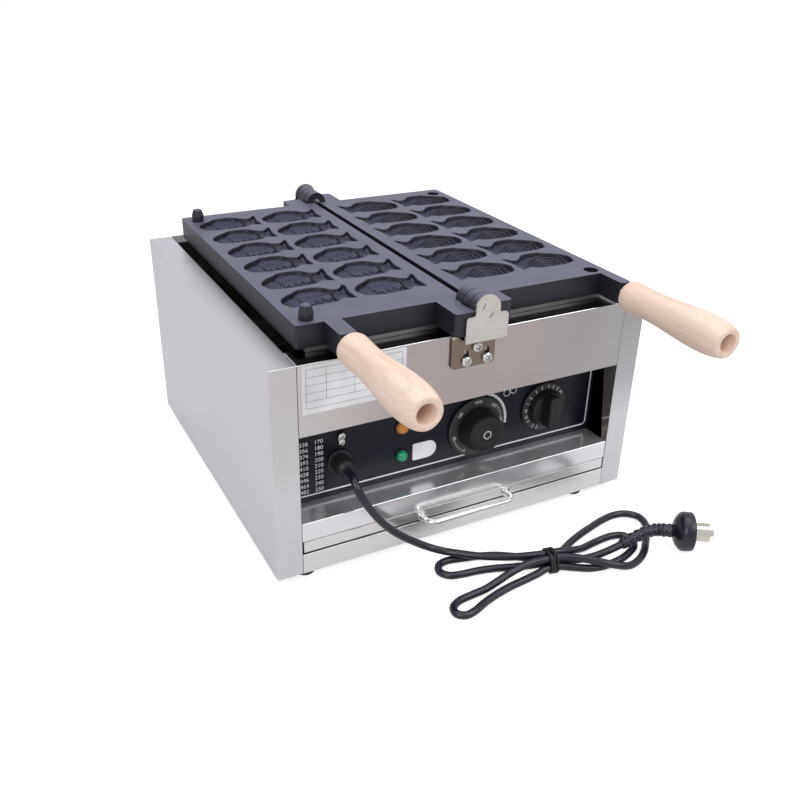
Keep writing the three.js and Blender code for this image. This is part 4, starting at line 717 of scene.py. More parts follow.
DRUM = [(21.3, 2.2), (21.1, 4), (20.3, 10), (19, 16.6), (18.5, 18.4), (17.6, 19.5), (16.2, 20),
        (12.6, 19.9), (9, 19.4), (8.3, 19), (7.9, 19), (7.5, 19.5), (6.8, 19.7), (0, 19.7)]
BADGE = [(4.4, 19.6), (4.4, 19.9), (4.2, 20), (3.3, 20), (3.1, 19.9), (3.1, 19.6)]
THERMOSTAT_SKIRT = [(3.6, 0), (30.1, 0), (30.5, 0.4), (30.5, 1.3), (29.9, 2), (28.8, 2.35), (21.3, 2.35)]
TIMER_SKIRT = [(3.6, 0), (25.2, 0), (25.5, 0.3), (25.5, 1.3), (24.9, 2), (23.8, 2.35), (19.1, 2.35)]
HUB = [(19.1, 2.2), (18.9, 4), (18, 7.6), (17.4, 8.6), (16.4, 9), (0, 9)]
KNOB_PIECES = [
    ("thermostat_skirt", THERMOSTAT_SKIRT, THERMOSTAT, "thermostat_knob", skirt_plastic, 96, 35),
    ("thermostat_drum", DRUM, THERMOSTAT, "thermostat_knob", knob_plastic, 96, 30),
    ("thermostat_badge", BADGE, THERMOSTAT, "thermostat_knob", zinc, 48, 35),
    ("timer_skirt", TIMER_SKIRT, TIMER, "timer_knob", skirt_plastic, 96, 35),
    ("timer_hub", HUB, TIMER, "timer_knob", knob_plastic, 96, 30),
]
for name, profile, axis, body, material, segments, sharp in KNOB_PIECES:
    piece = turned(name, back_by(profile, knob_back), *axis, body, material, segments, sharp)
    stand_for(piece, "plastic_black", *([body] if name.endswith("_skirt") else []))
bar_box = rounded_outline(TIMER[0] - 6.5, TIMER[0] + 6.5, TIMER[1] - 17.5, TIMER[1] + 17.5, 5)
bar = pushed("timer_bar", bar_box, knob_back - 20, knob_back - 8.5, "timer_knob", knob_plastic, 1.6, 4)
stand_for(bar, "plastic_black")
print("knobs reach", round((knob_back - low("thermostat_knob")[1]), 1), "mm out")

# %% [markdown]
# ## Lamps
# A pilot lamp is a domed lens in a thin black bezel. The upper one is amber, the lower one green
# and a little smaller. Lens and bezel are turned, and their profiles are written as shares of
# the radius, so that one pair of profiles fits both lamps.

# %% Lamps
LAMPS = (("amber", 106, 6.5, amber_lens), ("green", 76, 5.6, green_lens))
LAMP_X = -53.5
DOME = [(0, 6.2), (0.3, 6.15), (0.6, 5.5), (0.82, 4.3), (0.94, 2.9), (0.97, 1.6), (0.97, 0.4)]
BEZEL = [(0.93, 1.9), (1.02, 2), (1.13, 1.5), (1.17, 0.1)]
for name, height, radius, lens in LAMPS:
    axis = (LAMP_X, FOOT_HEIGHT + height)
    dome = back_by([(share * radius, depth) for share, depth in DOME], PANEL_FACE)
    stand_for(turned(f"{name}_lens", dome, *axis, "casing", lens, 48, 40), f"lamp_{name}", f"lamp_{name}")
    bezel = back_by([(share * radius, depth) for share, depth in BEZEL], PANEL_FACE)
    stand_for(turned(f"{name}_bezel", bezel, *axis, "casing", knob_plastic, 48, 40), "plastic_black")
print("lamps", len(LAMPS))

# %% [markdown]
# ## Gland
# The gland clamps the lead: a flange, a ribbed nut and a soft tapered sleeve. Ribs could be
# cut one by one, but a radius that swings with the angle gives them all in one turned mesh.

# %% Gland
def ribbed(name, profile, x, z, body, material, ribs, depth, segments=120):
    """Like turned, but the marked rings of the profile carry ribs."""
    points, faces = [], []
    for radius, y, rib in profile:
        for step in range(segments):
            angle = 2 * math.pi * step / segments
            r = radius - (depth * (0.5 + 0.5 * math.cos(ribs * angle)) ** 2 if rib else 0)
            points.append((x + r * math.cos(angle), y, z + r * math.sin(angle)))
    for ring in range(len(profile) - 1):
        for step in range(segments):
            after = (step + 1) % segments
            a, b = ring * segments, (ring + 1) * segments
            faces.append((a + step, b + step, b + after, a + after))
    faces.append(tuple(reversed(range(segments))))
    last = (len(profile) - 1) * segments
    faces.append(tuple(last + step for step in range(segments)))
    return mesh_piece(name, points, faces, body, material, 40)


gland_x, gland_z = -116, FOOT_HEIGHT + 87
gland_rings = [(11.2, 0.2, 0), (11.5, 0.6, 0), (11.5, 2.8, 0), (11.1, 3.2, 0), (9.1, 3.3, 0), (9.2, 3.8, 1),
               (9.2, 14.8, 1), (8.6, 16.2, 1), (7.9, 17.4, 0), (6.6, 18.8, 0), (5.6, 20.4, 0), (5.3, 21.2, 0),
               (4.4, 21.2, 0)]
gland = ribbed("gland", [(r, PANEL_FACE - d, rib) for r, d, rib in gland_rings], gland_x, gland_z,
               "casing", gland_plastic, 16, 0.7)
stand_for(gland, "rubber_black", "cable_gland")
print("gland reaches", round(PANEL_FACE - low("cable_gland")[1], 1), "mm out")

# %% [markdown]
# ## Feet
# The box stands on four rubber feet, a little narrower at the floor, where their rim is rounded.
# They are rings laid on each other about an upright line, set where the frame has its feet.

# %% Feet
FOOT_RINGS = [(7.6, 0.0), (8.6, 0.15), (9.1, 0.7), (9.9, 8.6), (9.7, 9.3), (8.8, 9.65)]
FOOT_STEPS = 48


def foot_pad(name, cx, cy):
    points, faces = [], []
    for radius, z in FOOT_RINGS:
        for step in range(FOOT_STEPS):
            angle = 2 * math.pi * step / FOOT_STEPS
            points.append((cx + radius * math.cos(angle), cy + radius * math.sin(angle), z))
    for ring in range(len(FOOT_RINGS) - 1):
        a = ring * FOOT_STEPS
        b = a + FOOT_STEPS
        for step in range(FOOT_STEPS):
            after = (step + 1) % FOOT_STEPS
            faces.append((a + step, a + after, b + after, b + step))
    last = len(points) - FOOT_STEPS
    faces.append(tuple(reversed(range(FOOT_STEPS))))
    faces.append(tuple(last + step for step in range(FOOT_STEPS)))
    return mesh_piece(f"{name}_pad", points, faces, "casing", foot_rubber)


for name in ("foot_front_left", "foot_front_right", "foot_rear_left", "foot_rear_right"):
    (x0, y0, _), (x1, y1, _) = low(name), high(name)
    stand_for(foot_pad(name, (x0 + x1) / 2, (y0 + y1) / 2), "rubber_black", name)
print("feet", round(FOOT_RINGS[-1][1], 1), "mm high")

# %% [markdown]
# ## Screws with a cross recess
# A pan head is a low dome. The cross is pressed into it by lowering the dome where either arm
# of the cross lies, on a fine polar grid. That keeps one clean surface, where cutting a cross
# with a boolean would leave slivers.

# %% Screw heads
def cross_head(name, x, z, seat, toward, radius, height, turn, body, material):
    """A domed head on the plane y = seat, its crown toward -y when toward is -1."""
    rings, steps = 22, 64
    points, faces = [(x, seat + toward * height * 0.42, z)], []
    for ring in range(1, rings + 1):
        share = ring / rings
        r = radius * math.sin(share * math.pi / 2) if share < 1 else radius
        dome = height * (1 - (r / radius) ** 4 * 0.42)
        for step in range(steps):
            angle = 2 * math.pi * step / steps
            px, pz = r * math.cos(angle), r * math.sin(angle)
            a = abs(px * math.cos(turn) + pz * math.sin(turn)) / radius
            b = abs(pz * math.cos(turn) - px * math.sin(turn)) / radius
            arm = max(0.0, min(1.0, (0.17 - min(a, b)) / 0.05))
            arm *= max(0.0, min(1.0, (0.66 - max(a, b)) / 0.12))
            depth = dome - arm * height * 0.52
            points.append((x + px, seat + toward * depth, z + pz))
    for step in range(steps):
        angle = 2 * math.pi * step / steps
        points.append((x + radius * math.cos(angle), seat, z + radius * math.sin(angle)))
    faces += [(0, 1 + s, 1 + (s + 1) % steps) for s in range(steps)]
    for ring in range(rings):
        a = 1 + ring * steps
        faces += [(a + s, a + steps + s, a + steps + (s + 1) % steps, a + (s + 1) % steps)
                  for s in range(steps)]
    if toward > 0:
        faces = [tuple(reversed(face)) for face in faces]
    return mesh_piece(name, points, faces, body, material, 50)


# %% [markdown]
# Three screws hold each bracket to the casing, all turned in by hand, so their crosses stand at
# different angles. The earth screw and the nut under it are smaller ones, with a flat tag
# between them and the panel.

# %% Screws in their places
HEAD_RADIUS, HEAD_HEIGHT = 4.8, 3.4
BRACKET_SCREWS = ((1, 0, 188, 0.3), (2, -10.4, 176, 0.9), (3, 10.4, 176, 0.55))
for end, toward in (("front", -1), ("rear", 1)):
    for number, x, height, turn in BRACKET_SCREWS:
        name = f"bracket_screw_{end}_{number}"
        seat = high(name)[1] - HEAD_HEIGHT if toward > 0 else low(name)[1] + HEAD_HEIGHT
        head = cross_head(f"{name}_head", x, FOOT_HEIGHT + height, seat, toward, HEAD_RADIUS,
                          HEAD_HEIGHT, turn, "casing", zinc)
        stand_for(head, "plated_steel", name)
EARTH_X, EARTH_SCREW, EARTH_NUT = -113.5, FOOT_HEIGHT + 112, FOOT_HEIGHT + 105.8
earth_seat = PANEL_FACE - 1.5
earth = cross_head("earth_screw", EARTH_X, EARTH_SCREW, earth_seat - 0.2, -1, 3.4, 2.4, 0.4,
                   "casing", zinc)
stand_for(earth, "plated_steel", "ground_terminal")
tag_box = rounded_outline(EARTH_X - 2.9, EARTH_X + 2.9, EARTH_SCREW - 7.6, EARTH_SCREW + 2.6, 2.8)
tag = pushed("earth_tag", tag_box, earth_seat, PANEL_FACE - 0.3, "casing", zinc, 0.3)
stand_for(tag, "plated_steel")
lower = cross_head("earth_nut", EARTH_X, EARTH_NUT, earth_seat, -1, 3, 2.2, 1.1, "casing", zinc)
stand_for(lower, "plated_steel")
print("screws made")

# %% [markdown]
# ## The tray's pull
# A bent rod of chromed wire between two small flanges. The maker of the lead's tube is used
# again: the line has a quarter circle at each end.

# %% Tray pull
pull_z = FOOT_HEIGHT + 25.65
PULL_RADIUS, PULL_REACH = 2.6, 17
reach, bend, turn_x = CASING_FRONT - PULL_REACH + PULL_RADIUS, 8, 46
pull = [Vector((-turn_x, CASING_FRONT - 0.6, pull_z))]
for side in (-1, 1):
    for step in range(9):
        angle = math.pi / 2 * (step / 8 if side < 0 else 1 - step / 8)
        pull.append(Vector((side * (turn_x - bend) + side * bend * math.cos(angle),
                            reach + bend - bend * math.sin(angle), pull_z)))
pull.append(Vector((turn_x, CASING_FRONT - 0.6, pull_z)))
handle = mesh_piece("tray_pull", *along_line(pull, PULL_RADIUS, 24), "drip_tray", chrome, 60)
stand_for(handle, "chrome_bar", "tray_handle")
for side in (-1, 1):
    flange = turned(f"pull_flange_{'left' if side < 0 else 'right'}",
                    back_by([(2.5, 1.7), (3.9, 1.7), (4.6, 1.3), (4.8, 0.7), (4.8, 0.3)], CASING_FRONT),
                    side * turn_x, pull_z, "drip_tray", chrome, 40)
    stand_for(flange, "chrome_bar")
print("pull", 2 * turn_x, "mm wide")

# %% [markdown]
# ## The tray's face
# In the photo the tray's face sits close under the shelf strip and reaches nearly to the posts,
# and the dark gap is below it. The tray of the frame gets a copy whose face is lifted by one
# and a half millimetres and drawn out sideways; all its other corners stay.

# %% Tray face
LIFT, WIDER, FACE_DEPTH, FACE_END = 1.5, 2.4, 2.2, 150
tray_mesh = nodes["drip_tray"].data.copy()
tray_mesh.name = "tray_sheet"
face_back = low("drip_tray")[1] + FACE_DEPTH
for vertex in tray_mesh.vertices:
    x, y, z = (c / MM for c in vertex.co)
    if y < face_back:
        z += LIFT
        x += WIDER * (1 if x > FACE_END else -1 if x < -FACE_END else 0)
        vertex.co = (x * MM, y * MM, z * MM)
tray_sheet = placed("tray_sheet", tray_mesh)
dress(tray_sheet, tray_steel, 0.3)
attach(tray_sheet, "drip_tray")
stand_for(tray_sheet, "stainless_brushed", "drip_tray")
print("tray face lifted", LIFT, "mm")

# %% [markdown]
# ## Tie
# The tie is a thin plastic wire wound four times round the strands. Each turn is a small tube
# on the strands' rounded outline, and a slight sway keeps the turns from looking machined.

# %% Tie
tie_points, tie_faces = [], []
centres = [(-2 * WAIST_PITCH, WAIST_LOW), (2 * WAIST_PITCH, WAIST_LOW),
           (WAIST_PITCH, WAIST_LOW + WAIST_RISE), (-WAIST_PITCH, WAIST_LOW + WAIST_RISE)]
band = []
for i, (cx, cz) in enumerate(centres):
    (bx, bz), (ax, az) = centres[i - 1], centres[(i + 1) % 4]
    start = math.atan2(cz - bz, cx - bx) - math.pi / 2
    sweep = (math.atan2(az - cz, ax - cx) - math.pi / 2 - start) % (2 * math.pi)
    band += [(cx, cz, start + sweep * step / 8) for step in range(9)]
across = (math.cos(WAIST_TURN), math.sin(WAIST_TURN))
WIRE_RADIUS, WIRE_SEAT, WIRE_SIDES, WIRE_SWAY, WIRE_LOWEST = 0.85, 4.45, 10, 0.55, 0.25
for turn, middle in enumerate((-3.1, -1.2, 1.1, 3.2)):
    first = len(tie_points)
    for cx, cz, angle in band:
        sway = WIRE_SWAY * math.sin(2 * angle + 2.1 * turn)
        for side in range(WIRE_SIDES):
            round_wire = 2 * math.pi * side / WIRE_SIDES
            run = middle + sway - WIRE_RADIUS * math.cos(round_wire)
            out = WIRE_SEAT + WIRE_RADIUS * math.sin(round_wire)
            aside = cx + out * math.cos(angle)
            tie_points.append((WAIST[0] + run * across[0] + aside * across[1],
                               CASING_FRONT + WAIST[1] + run * across[1] - aside * across[0],
                               max(cz + out * math.sin(angle), WIRE_LOWEST)))
    for i in range(len(band)):
        here, after = first + i * WIRE_SIDES, first + (i + 1) % len(band) * WIRE_SIDES
        for j in range(WIRE_SIDES):
            k = (j + 1) % WIRE_SIDES
            tie_faces.append((here + j, after + j, after + k, here + k))
tie = mesh_piece("lead_tie", tie_points, tie_faces, "casing", gland_plastic, 40)
stand_for(tie, "rubber_black", "cord_tie")
print("tie of", len(tie_faces), "faces")

# %% [markdown]
# ## Boot
# The boot keeps the lead from kinking at the plug: a soft sleeve, wider toward the plug, with a
# row of round ribs. It is a tube along its own smooth line whose radius rises and falls, so the
# ribs follow the bend.

# %% Boot
boot_start = lead_line[-1] + (lead_line[-1] - lead_line[-2]).normalized() * CORD_GAP
boot_line = smooth_line([boot_start] + [Vector((x, CASING_FRONT + y, z)) for x, y, z in BOOT_RUN], 16)
BOOT_RIBS = 10
boot_radii = []
for i in range(len(boot_line)):
    share = i / (len(boot_line) - 1)
    wave = (0.5 - 0.5 * math.cos(2 * math.pi * BOOT_RIBS * share)) ** 0.7
    faded = min(1, 12 * share) * min(1, 12 * (1 - share) + 0.2)
    boot_radii.append(4.5 + 1.4 * share + 0.9 * wave * faded)
boot = mesh_piece("plug_sleeve", *along_line(boot_line, boot_radii, 28), "casing", cord_pvc, 70)
stand_for(boot, "plug_pvc", "plug_boot")
print("boot", round(line_length(boot_line)), "mm long")

# %% [markdown]
# ## Plug
# The plug is a moulded disc that stands on its rim, with three flat blades in a pale insert. It
# is easiest to turn it facing the front, like the knobs, and then to set its mesh down at the
# end of the boot.

# %% Plug
PLUG_RADIUS, PLUG_TURN = 18.5, math.radians(-32)
plug_base = Vector((boot_line[-1].x, boot_line[-1].y, 0))


def set_down(piece):
    """Turns a piece modelled toward -y into the plug's place, mesh and all."""
    angle = math.pi / 2 + PLUG_TURN
    c, s = math.cos(angle), math.sin(angle)
    for vertex in piece.data.vertices:
        x, y, z = vertex.co
        vertex.co = (plug_base.x * MM + x * c - y * s, plug_base.y * MM + x * s + y * c, z)
    return piece


DISC = [(0, -0.3), (8, -0.3), (10.6, -0.9), (14, -2.8), (16.9, -5.2), (18.1, -7), (18.5, -8.6),
        (18.5, -15.2), (18.1, -16.5), (17.2, -17.2), (15.6, -17.4), (13.4, -17.3), (0, -17.3)]
INSERT = [(13, -17.4), (13, -18.2), (12.5, -18.75), (0, -18.8)]
shell = turned("plug_disc", DISC, 0, PLUG_RADIUS, "casing", cord_pvc, 72, 40)
stand_for(set_down(shell), "plug_pvc", "plug_body")
insert = turned("plug_insert", INSERT, 0, PLUG_RADIUS, "casing", blade_metal, 64, 40)
stand_for(set_down(insert), "plug_pins", "plug_pins")
BLADES = (("live", -7, 4.5, 30), ("neutral", 7, 4.5, -30), ("earth", 0, -7, 0))
blade_box = rounded_outline(-0.85, 0.85, -3.2, 3.2, 0.3, 2)
for name, x, rise, tilt in BLADES:
    blade = pushed(f"blade_{name}", blade_box, -34.8, -18, "casing", blade_metal, 0.35, 2)
    c, s = math.cos(math.radians(tilt)), math.sin(math.radians(tilt))
    for vertex in blade.data.vertices:
        px, py, pz = vertex.co
        vertex.co = (x * MM + px * c + pz * s, py, (PLUG_RADIUS + rise) * MM - px * s + pz * c)
    stand_for(set_down(blade), "plug_pins")
print("plug", round(2 * PLUG_RADIUS), "mm across")

# %% [markdown]
# ## Printing
# Print has no height that the eye could see, so each mark is a flat face just in front of its
# panel. A picture on the panel would do as well, but faces stay sharp at any distance. The
# digits are Blender's own font turned into mesh, and the marks of one colour on one part are
# joined into a single piece.

# %% A kit for flat print
def on_circle(centre, radius, angle):
    turn = math.radians(angle)
    return centre[0] + radius * math.cos(turn), centre[1] + radius * math.sin(turn)


class Print:
    def __init__(self, plane):
        self.plane, self.points, self.faces = plane, [], []

    def shape(self, outline):
        first = len(self.points)
        self.points += [(x, self.plane, z) for x, z in outline]
        self.faces.append(tuple(range(first, first + len(outline))))

    def stroke(self, run, width, closed=False):
        run = list(run)
        if closed:
            run = run + run[:1]
        for (ax, az), (bx, bz) in zip(run, run[1:]):
            length = math.hypot(bx - ax, bz - az)
            if length < 1e-6:
                continue
            nx, nz = -(bz - az) / length * width / 2, (bx - ax) / length * width / 2
            self.shape([(ax - nx, az - nz), (bx - nx, bz - nz), (bx + nx, bz + nz), (ax + nx, az + nz)])

    def arc(self, centre, inner, outer, start, end, steps=24):
        for step in range(steps):
            a, b = (start + (end - start) * k / steps for k in (step, step + 1))
            self.shape([on_circle(centre, radius, angle) for radius, angle in
                        ((inner, a), (outer, a), (outer, b), (inner, b))])

    def tick(self, centre, inner, outer, angle, width):
        self.stroke([on_circle(centre, inner, angle), on_circle(centre, outer, angle)], width)

    def digits(self, text, x, z, size, turn=0.0):
        curve = bpy.data.curves.new("digits", "FONT")
        curve.body, curve.size, curve.align_x, curve.align_y = text, size, "CENTER", "CENTER"
        curve.resolution_u = 3
        writer = placed("digits", curve)
        written = writer.evaluated_get(bpy.context.evaluated_depsgraph_get())
        mesh = bpy.data.meshes.new_from_object(written)
        first = len(self.points)
        c, s = math.cos(turn), math.sin(turn)
        for vertex in mesh.vertices:
            px, pz = vertex.co.x, vertex.co.y
            self.points.append((x + px * c - pz * s, self.plane, z + px * s + pz * c))
        self.faces += [tuple(first + v for v in face.vertices) for face in mesh.polygons]
        bpy.data.objects.remove(writer)
        bpy.data.curves.remove(curve)
        bpy.data.meshes.remove(mesh)

    def finish(self, name, body, material, slot):
        mesh_piece(name, self.points, self.faces, body, material, smooth=False)


print("print kit ready")

# %% [markdown]
# The fascia is screen printed: a frame line, two columns of plain temperatures, a white arc
# beside the thermostat with grey notches in it, four small rings above the knobs and a white
# plate beside the lower lamp. Each knob carries its own ring of marks and numbers, which rides
# on the knob and turns with it.

# %% Print on the fascia and the knobs
ROW_STEP, ROWS_TOP = 6.0, FOOT_HEIGHT + 110.5
marks = Print(PANEL_FACE - 0.06)
frame_line = rounded_outline(-168, 159, FOOT_HEIGHT + 58.5, FOOT_HEIGHT + 160, 4)
marks.stroke(frame_line, 1.5, closed=True)
for row in range(9):
    z = ROWS_TOP - row * ROW_STEP
    marks.digits(str(338 + 18 * row), -148.5, z, 5.6)
    marks.digits(str(170 + 10 * row), -134.5, z, 5.6)
marks.shape(rounded_outline(-41.5, -16.6, FOOT_HEIGHT + 66.8, FOOT_HEIGHT + 84.5, 8.7, 8, 1.6))
SCALE_INNER, SCALE_OUTER = 31.8, 34.6
marks.arc(THERMOSTAT, SCALE_INNER, SCALE_OUTER, -8, 70)
for x, height, inner in ((59, 115.6, 3.2), (66.5, 117, 3.2), (122, 128, 2.8), (129.5, 129, 2.8)):
    marks.arc((x, FOOT_HEIGHT + height), inner, inner + 0.7, 0, 360)
marks.finish("fascia_print", "casing", print_white, "fascia_black")
notches = Print(PANEL_FACE - 0.1)
for step in range(9):
    notches.tick(THERMOSTAT, SCALE_INNER, SCALE_OUTER, -2 + step * 8.2, 0.45)
notches.finish("scale_notches", "casing", print_grey, "fascia_black")
ring = Print(knob_back - 2.42)
for start, end in ((204, 232), (16, 42), (84, 98), (-62, -30)):
    for step in range(5):
        ring.tick(THERMOSTAT, 25.4, 28, start + (end - start) * step / 4, 0.55)
for value, angle in (("0", 239), ("50", 195), ("100", 140), ("150", 51), ("200", 5), ("250", -70)):
    ring.digits(value, *on_circle(THERMOSTAT, 25.8, angle), 4.6, math.radians(angle - 90))
ring.finish("thermostat_numbers", "thermostat_knob", print_white, "plastic_black")
minutes = Print(knob_back - 2.42)
for angle in (52, 68, 84, 104, 122, 143, 213, 236, 250):
    minutes.tick(TIMER, 20, 23.8, angle, 0.7)
for value, angle in (("5", 160), ("10", 180), ("15", 199), ("20", 36)):
    minutes.digits(value, *on_circle(TIMER, 21.8, angle), 4, math.radians(angle - 90))
minutes.finish("timer_marks", "timer_knob", print_white, "plastic_black")
print("faces printed", sum(len(p.faces) for p in (marks, notches, ring, minutes)))

# %% [markdown]
# A white label with thin ruled lines sits on the front, and the bracket has two short scuffs.
# The same kit draws them, because they too are flat marks on a plain face.

# %% Label and scuffs
scuffs = Print(low("hinge_bracket_front")[1] - 0.04)
for width, run in ((1.3, ((-5.4, 227.6), (-4, 230.2), (-3.2, 232.4))),
                   (1.5, ((1.4, 219), (3.2, 221.2), (5, 222.6)))):
    scuffs.stroke([(x, FOOT_HEIGHT + height) for x, height in run], width)
scuffs.finish("bracket_scuffs", "casing", print_grey, "stainless_brushed")
label = Print(CASING_FRONT - 0.08)
label.shape([(x, FOOT_HEIGHT + height) for x, height in
             ((-160, 156.5), (-67, 156.5), (-67, 199.6), (-160, 199.6))])
label.finish("blank_label", "casing", label_paper, "stainless_brushed")
rules = Print(CASING_FRONT - 0.12)
for height in (161.5, 168, 175, 182, 189, 196):
    rules.stroke([(-156.5, FOOT_HEIGHT + height), (-71, FOOT_HEIGHT + height)], 0.35)
for x, foot in ((-156.5, 161.5), (-139, 168), (-114, 168), (-96, 168), (-71, 161.5)):
    rules.stroke([(x, FOOT_HEIGHT + foot), (x, FOOT_HEIGHT + 196)], 0.35)
rules.finish("label_rules", "casing", print_grey, "stainless_brushed")
print("label and scuffs made")

# %% [markdown]
# ## Fish moulds
# Each plate holds twelve shells of the same fish, so one relief is worked out and used twelve
# times. The relief is a height over a fine grid: the distance to the fish's outline gives the
# steep wall and the rounded floor, and ridges and scales are added to it. A height field suits
# a casting, because a mould that releases its cake has no overhangs.

# %% Outline of the fish
FISH_LENGTH, FISH_HEIGHT, FISH_DEPTH = 66, 41, 12
FISH_SHARES = [
    (0, 0.36), (0.03, 0.57), (0.14, 0.75), (0.26, 0.87), (0.34, 0.97), (0.46, 1), (0.58, 0.98), (0.67, 0.91),
    (0.75, 0.77), (0.83, 0.7), (0.9, 0.75), (0.95, 0.87), (1, 0.89), (0.96, 0.47), (0.96, 0.07), (0.87, 0.11),
    (0.79, 0.15), (0.71, 0.05), (0.56, 0.02), (0.4, 0), (0.22, 0.02), (0.06, 0.11),
]
GRID, MARGIN, EDGE_INSET = 0.5, 1.2, 0.35
grid_x = np.arange(-MARGIN, FISH_LENGTH + MARGIN + GRID / 2, GRID)
grid_y = np.arange(-MARGIN, FISH_HEIGHT + MARGIN + GRID / 2, GRID)
X, Y = np.meshgrid(grid_x, grid_y)
U, V = X / FISH_LENGTH, Y / FISH_HEIGHT


def distance_to(spans):
    """Distance of every grid point to the nearest of some straight spans."""
    best = np.full(X.shape, 1e9)
    for (ax, ay), (bx, by) in spans:
        ex, ey = bx - ax, by - ay
        t = np.clip(((X - ax) * ex + (Y - ay) * ey) / (ex * ex + ey * ey), 0, 1)
        best = np.minimum(best, np.hypot(X - ax - t * ex, Y - ay - t * ey))
    return best


def inside_distance(outline):
    """Distance to a closed outline, positive inside."""
    spans = list(zip(outline, outline[1:] + outline[:1]))
    odd = np.zeros(X.shape, bool)
    for (ax, ay), (bx, by) in spans:
        crosses = (ay > Y) != (by > Y)
        edge_x = ax + (Y - ay) * (bx - ax) / (by - ay if by != ay else 1e-9)
        odd ^= crosses & (X < edge_x)
    best = distance_to(spans)
    return np.where(odd, best, -best)


def fish_outline():
    corners = [Vector((u * FISH_LENGTH, v * FISH_HEIGHT, 0)) for u, v in FISH_SHARES]
    around = smooth_line(corners[-2:] + corners + corners[:2], 5)
    return [(p.x, p.y) for p in around[10:-10]]


inside = inside_distance(fish_outline()) - EDGE_INSET
print("fish grid", X.shape, "deepest inside", round(float(inside.max()), 1), "mm")

# %% [markdown]
# The wall falls steeply and eases into the floor. On top of it lie the details of the two fish.
# Each detail is a ridge or a step, from a few tenths of a millimetre to about two millimetres
# high, and is given by its distance to a line or a ring.

# %% Walls, floor and ridges
def ridge(distance, width, height):
    return height * np.exp(-(distance / width) ** 2)


def run_distance(run):
    """Distance to an open run of places, given as shares of the fish."""
    places = [(u * FISH_LENGTH, v * FISH_HEIGHT) for u, v in run]
    return distance_to(zip(places, places[1:]))


def step_between(value, start, end):
    share = np.clip((value - start) / (end - start), 0, 1)
    return share * share * (3 - 2 * share)


def scales(radius, height, start, end):
    """Rows of half rings, each row shifted by half a scale."""
    total = np.zeros(X.shape)
    for column in range(12):
        for row in range(12):
            cx = FISH_LENGTH * start + column * radius * 1.1
            cy = (row + (column % 2) / 2) * radius * 1.45
            if cx > FISH_LENGTH * end:
                continue
            reach = np.hypot(X - cx, Y - cy)
            facing = np.clip((X - cx) / radius + 0.35, 0, 1)
            total = np.maximum(total, ridge(reach - radius, 0.45, height) * facing)
    return total


WALL_DROP, BOWL_DROP, BOWL_REACH = 3.9, 3.3, 10
TAIL_BAND, TAIL_BAND_WIDTH = 0.77, 0.014
within = np.maximum(inside, 0)
tail = step_between(U, 0.755, 0.8)
basin = WALL_DROP * step_between(within, 0, 1.4)
bowl = 1 - (1 - np.clip(within / BOWL_REACH, 0, 1)) ** 2
basin += BOWL_DROP * bowl * (1 - 0.9 * tail)
deep = step_between(inside, 0.9, 1.9)


def zigzag(corners):
    return np.interp(U, [u for u, v in corners], [v for u, v in corners])


def tail_fan(height):
    total = np.zeros(X.shape)
    for step in range(5):
        line = run_distance([(0.79, 0.42), (0.97, 0.16 + step * 0.16)])
        total = np.maximum(total, ridge(line, 0.55, height))
    return total


print("pocket at its deepest", round(float(basin.max()), 1), "mm")

# %% [markdown]
# The left plate's fish has its eye and gill at the nose, a raised body with a row of pointed
# fins sunk into it, short rays above them and a fan of ridges in the tail.

# %% Left fish
def left_fish():
    body = step_between(U - 0.27 - 0.07 * np.cos((V - 0.55) * 4), 0, 0.016)
    relief = 1.3 * body
    eye = np.hypot(X - 0.15 * FISH_LENGTH, Y - 0.54 * FISH_HEIGHT)
    relief += ridge(eye - 3.2, 0.6, 1.1) + ridge(eye, 1.2, 1.2)
    relief += ridge(run_distance([(0.04, 0.66), (0.1, 0.74), (0.19, 0.76), (0.24, 0.68)]), 0.6, 0.9)
    relief += 0.3 * np.sin(X * 3.4) * np.sin(Y * 3.1) * (1 - body)
    fins = zigzag([(0.33, 0.34), (0.41, 0.6), (0.45, 0.36), (0.52, 0.66), (0.56, 0.42),
                   (0.63, 0.68), (0.67, 0.48), (0.76, 0.62)])
    relief -= 1.5 * step_between(fins - V, 0, 0.03) * body
    for step in range(7):
        u = 0.37 + step * 0.055
        relief += ridge(run_distance([(u, 0.72), (u + 0.01, 0.92)]), 0.45, 0.6)
    relief += ridge(U - TAIL_BAND, TAIL_BAND_WIDTH, 1.9)
    return relief + 0.8 * tail_fan(1)


left_relief = left_fish()
print("left relief up to", round(float(left_relief[inside > 0].max()), 1), "mm")

# %% [markdown]
# The right plate's fish has four wide rings in the front half of its body, a button in their
# middle, and rows of scales with soft wrinkles behind the gill.

# %% Right fish
def right_fish():
    arcs = np.hypot(X - 0.34 * FISH_LENGTH, 1.05 * (Y - 0.5 * FISH_HEIGHT))
    relief = np.zeros(X.shape)
    for radius in (4.6, 9, 13.4, 17.8):
        relief = np.maximum(relief, ridge(arcs - radius, 1.05, 2.1))
    relief += ridge(arcs, 1.7, 1.5)
    gill = step_between(U - 0.55 - 0.03 * np.cos((V - 0.5) * 4), 0, 0.016)
    relief += gill * (0.1 + scales(2.7, 1.1, 0.58, 0.8))
    wrinkles = np.sin(X * 1.7 + 1.7 * np.sin(Y * 0.9)) * np.sin(Y * 2.1 + 1.3 * np.sin(X * 0.8))
    relief += 0.7 * wrinkles * gill * (1 - tail)
    relief += ridge(run_distance([(0.06, 0.56), (0.12, 0.62), (0.17, 0.56)]), 0.6, 0.9)
    relief += ridge(U - TAIL_BAND, TAIL_BAND_WIDTH, 1.6)
    return relief + 0.7 * tail_fan(1)


right_relief = right_fish()
print("right relief up to", round(float(right_relief[inside > 0].max()), 1), "mm")

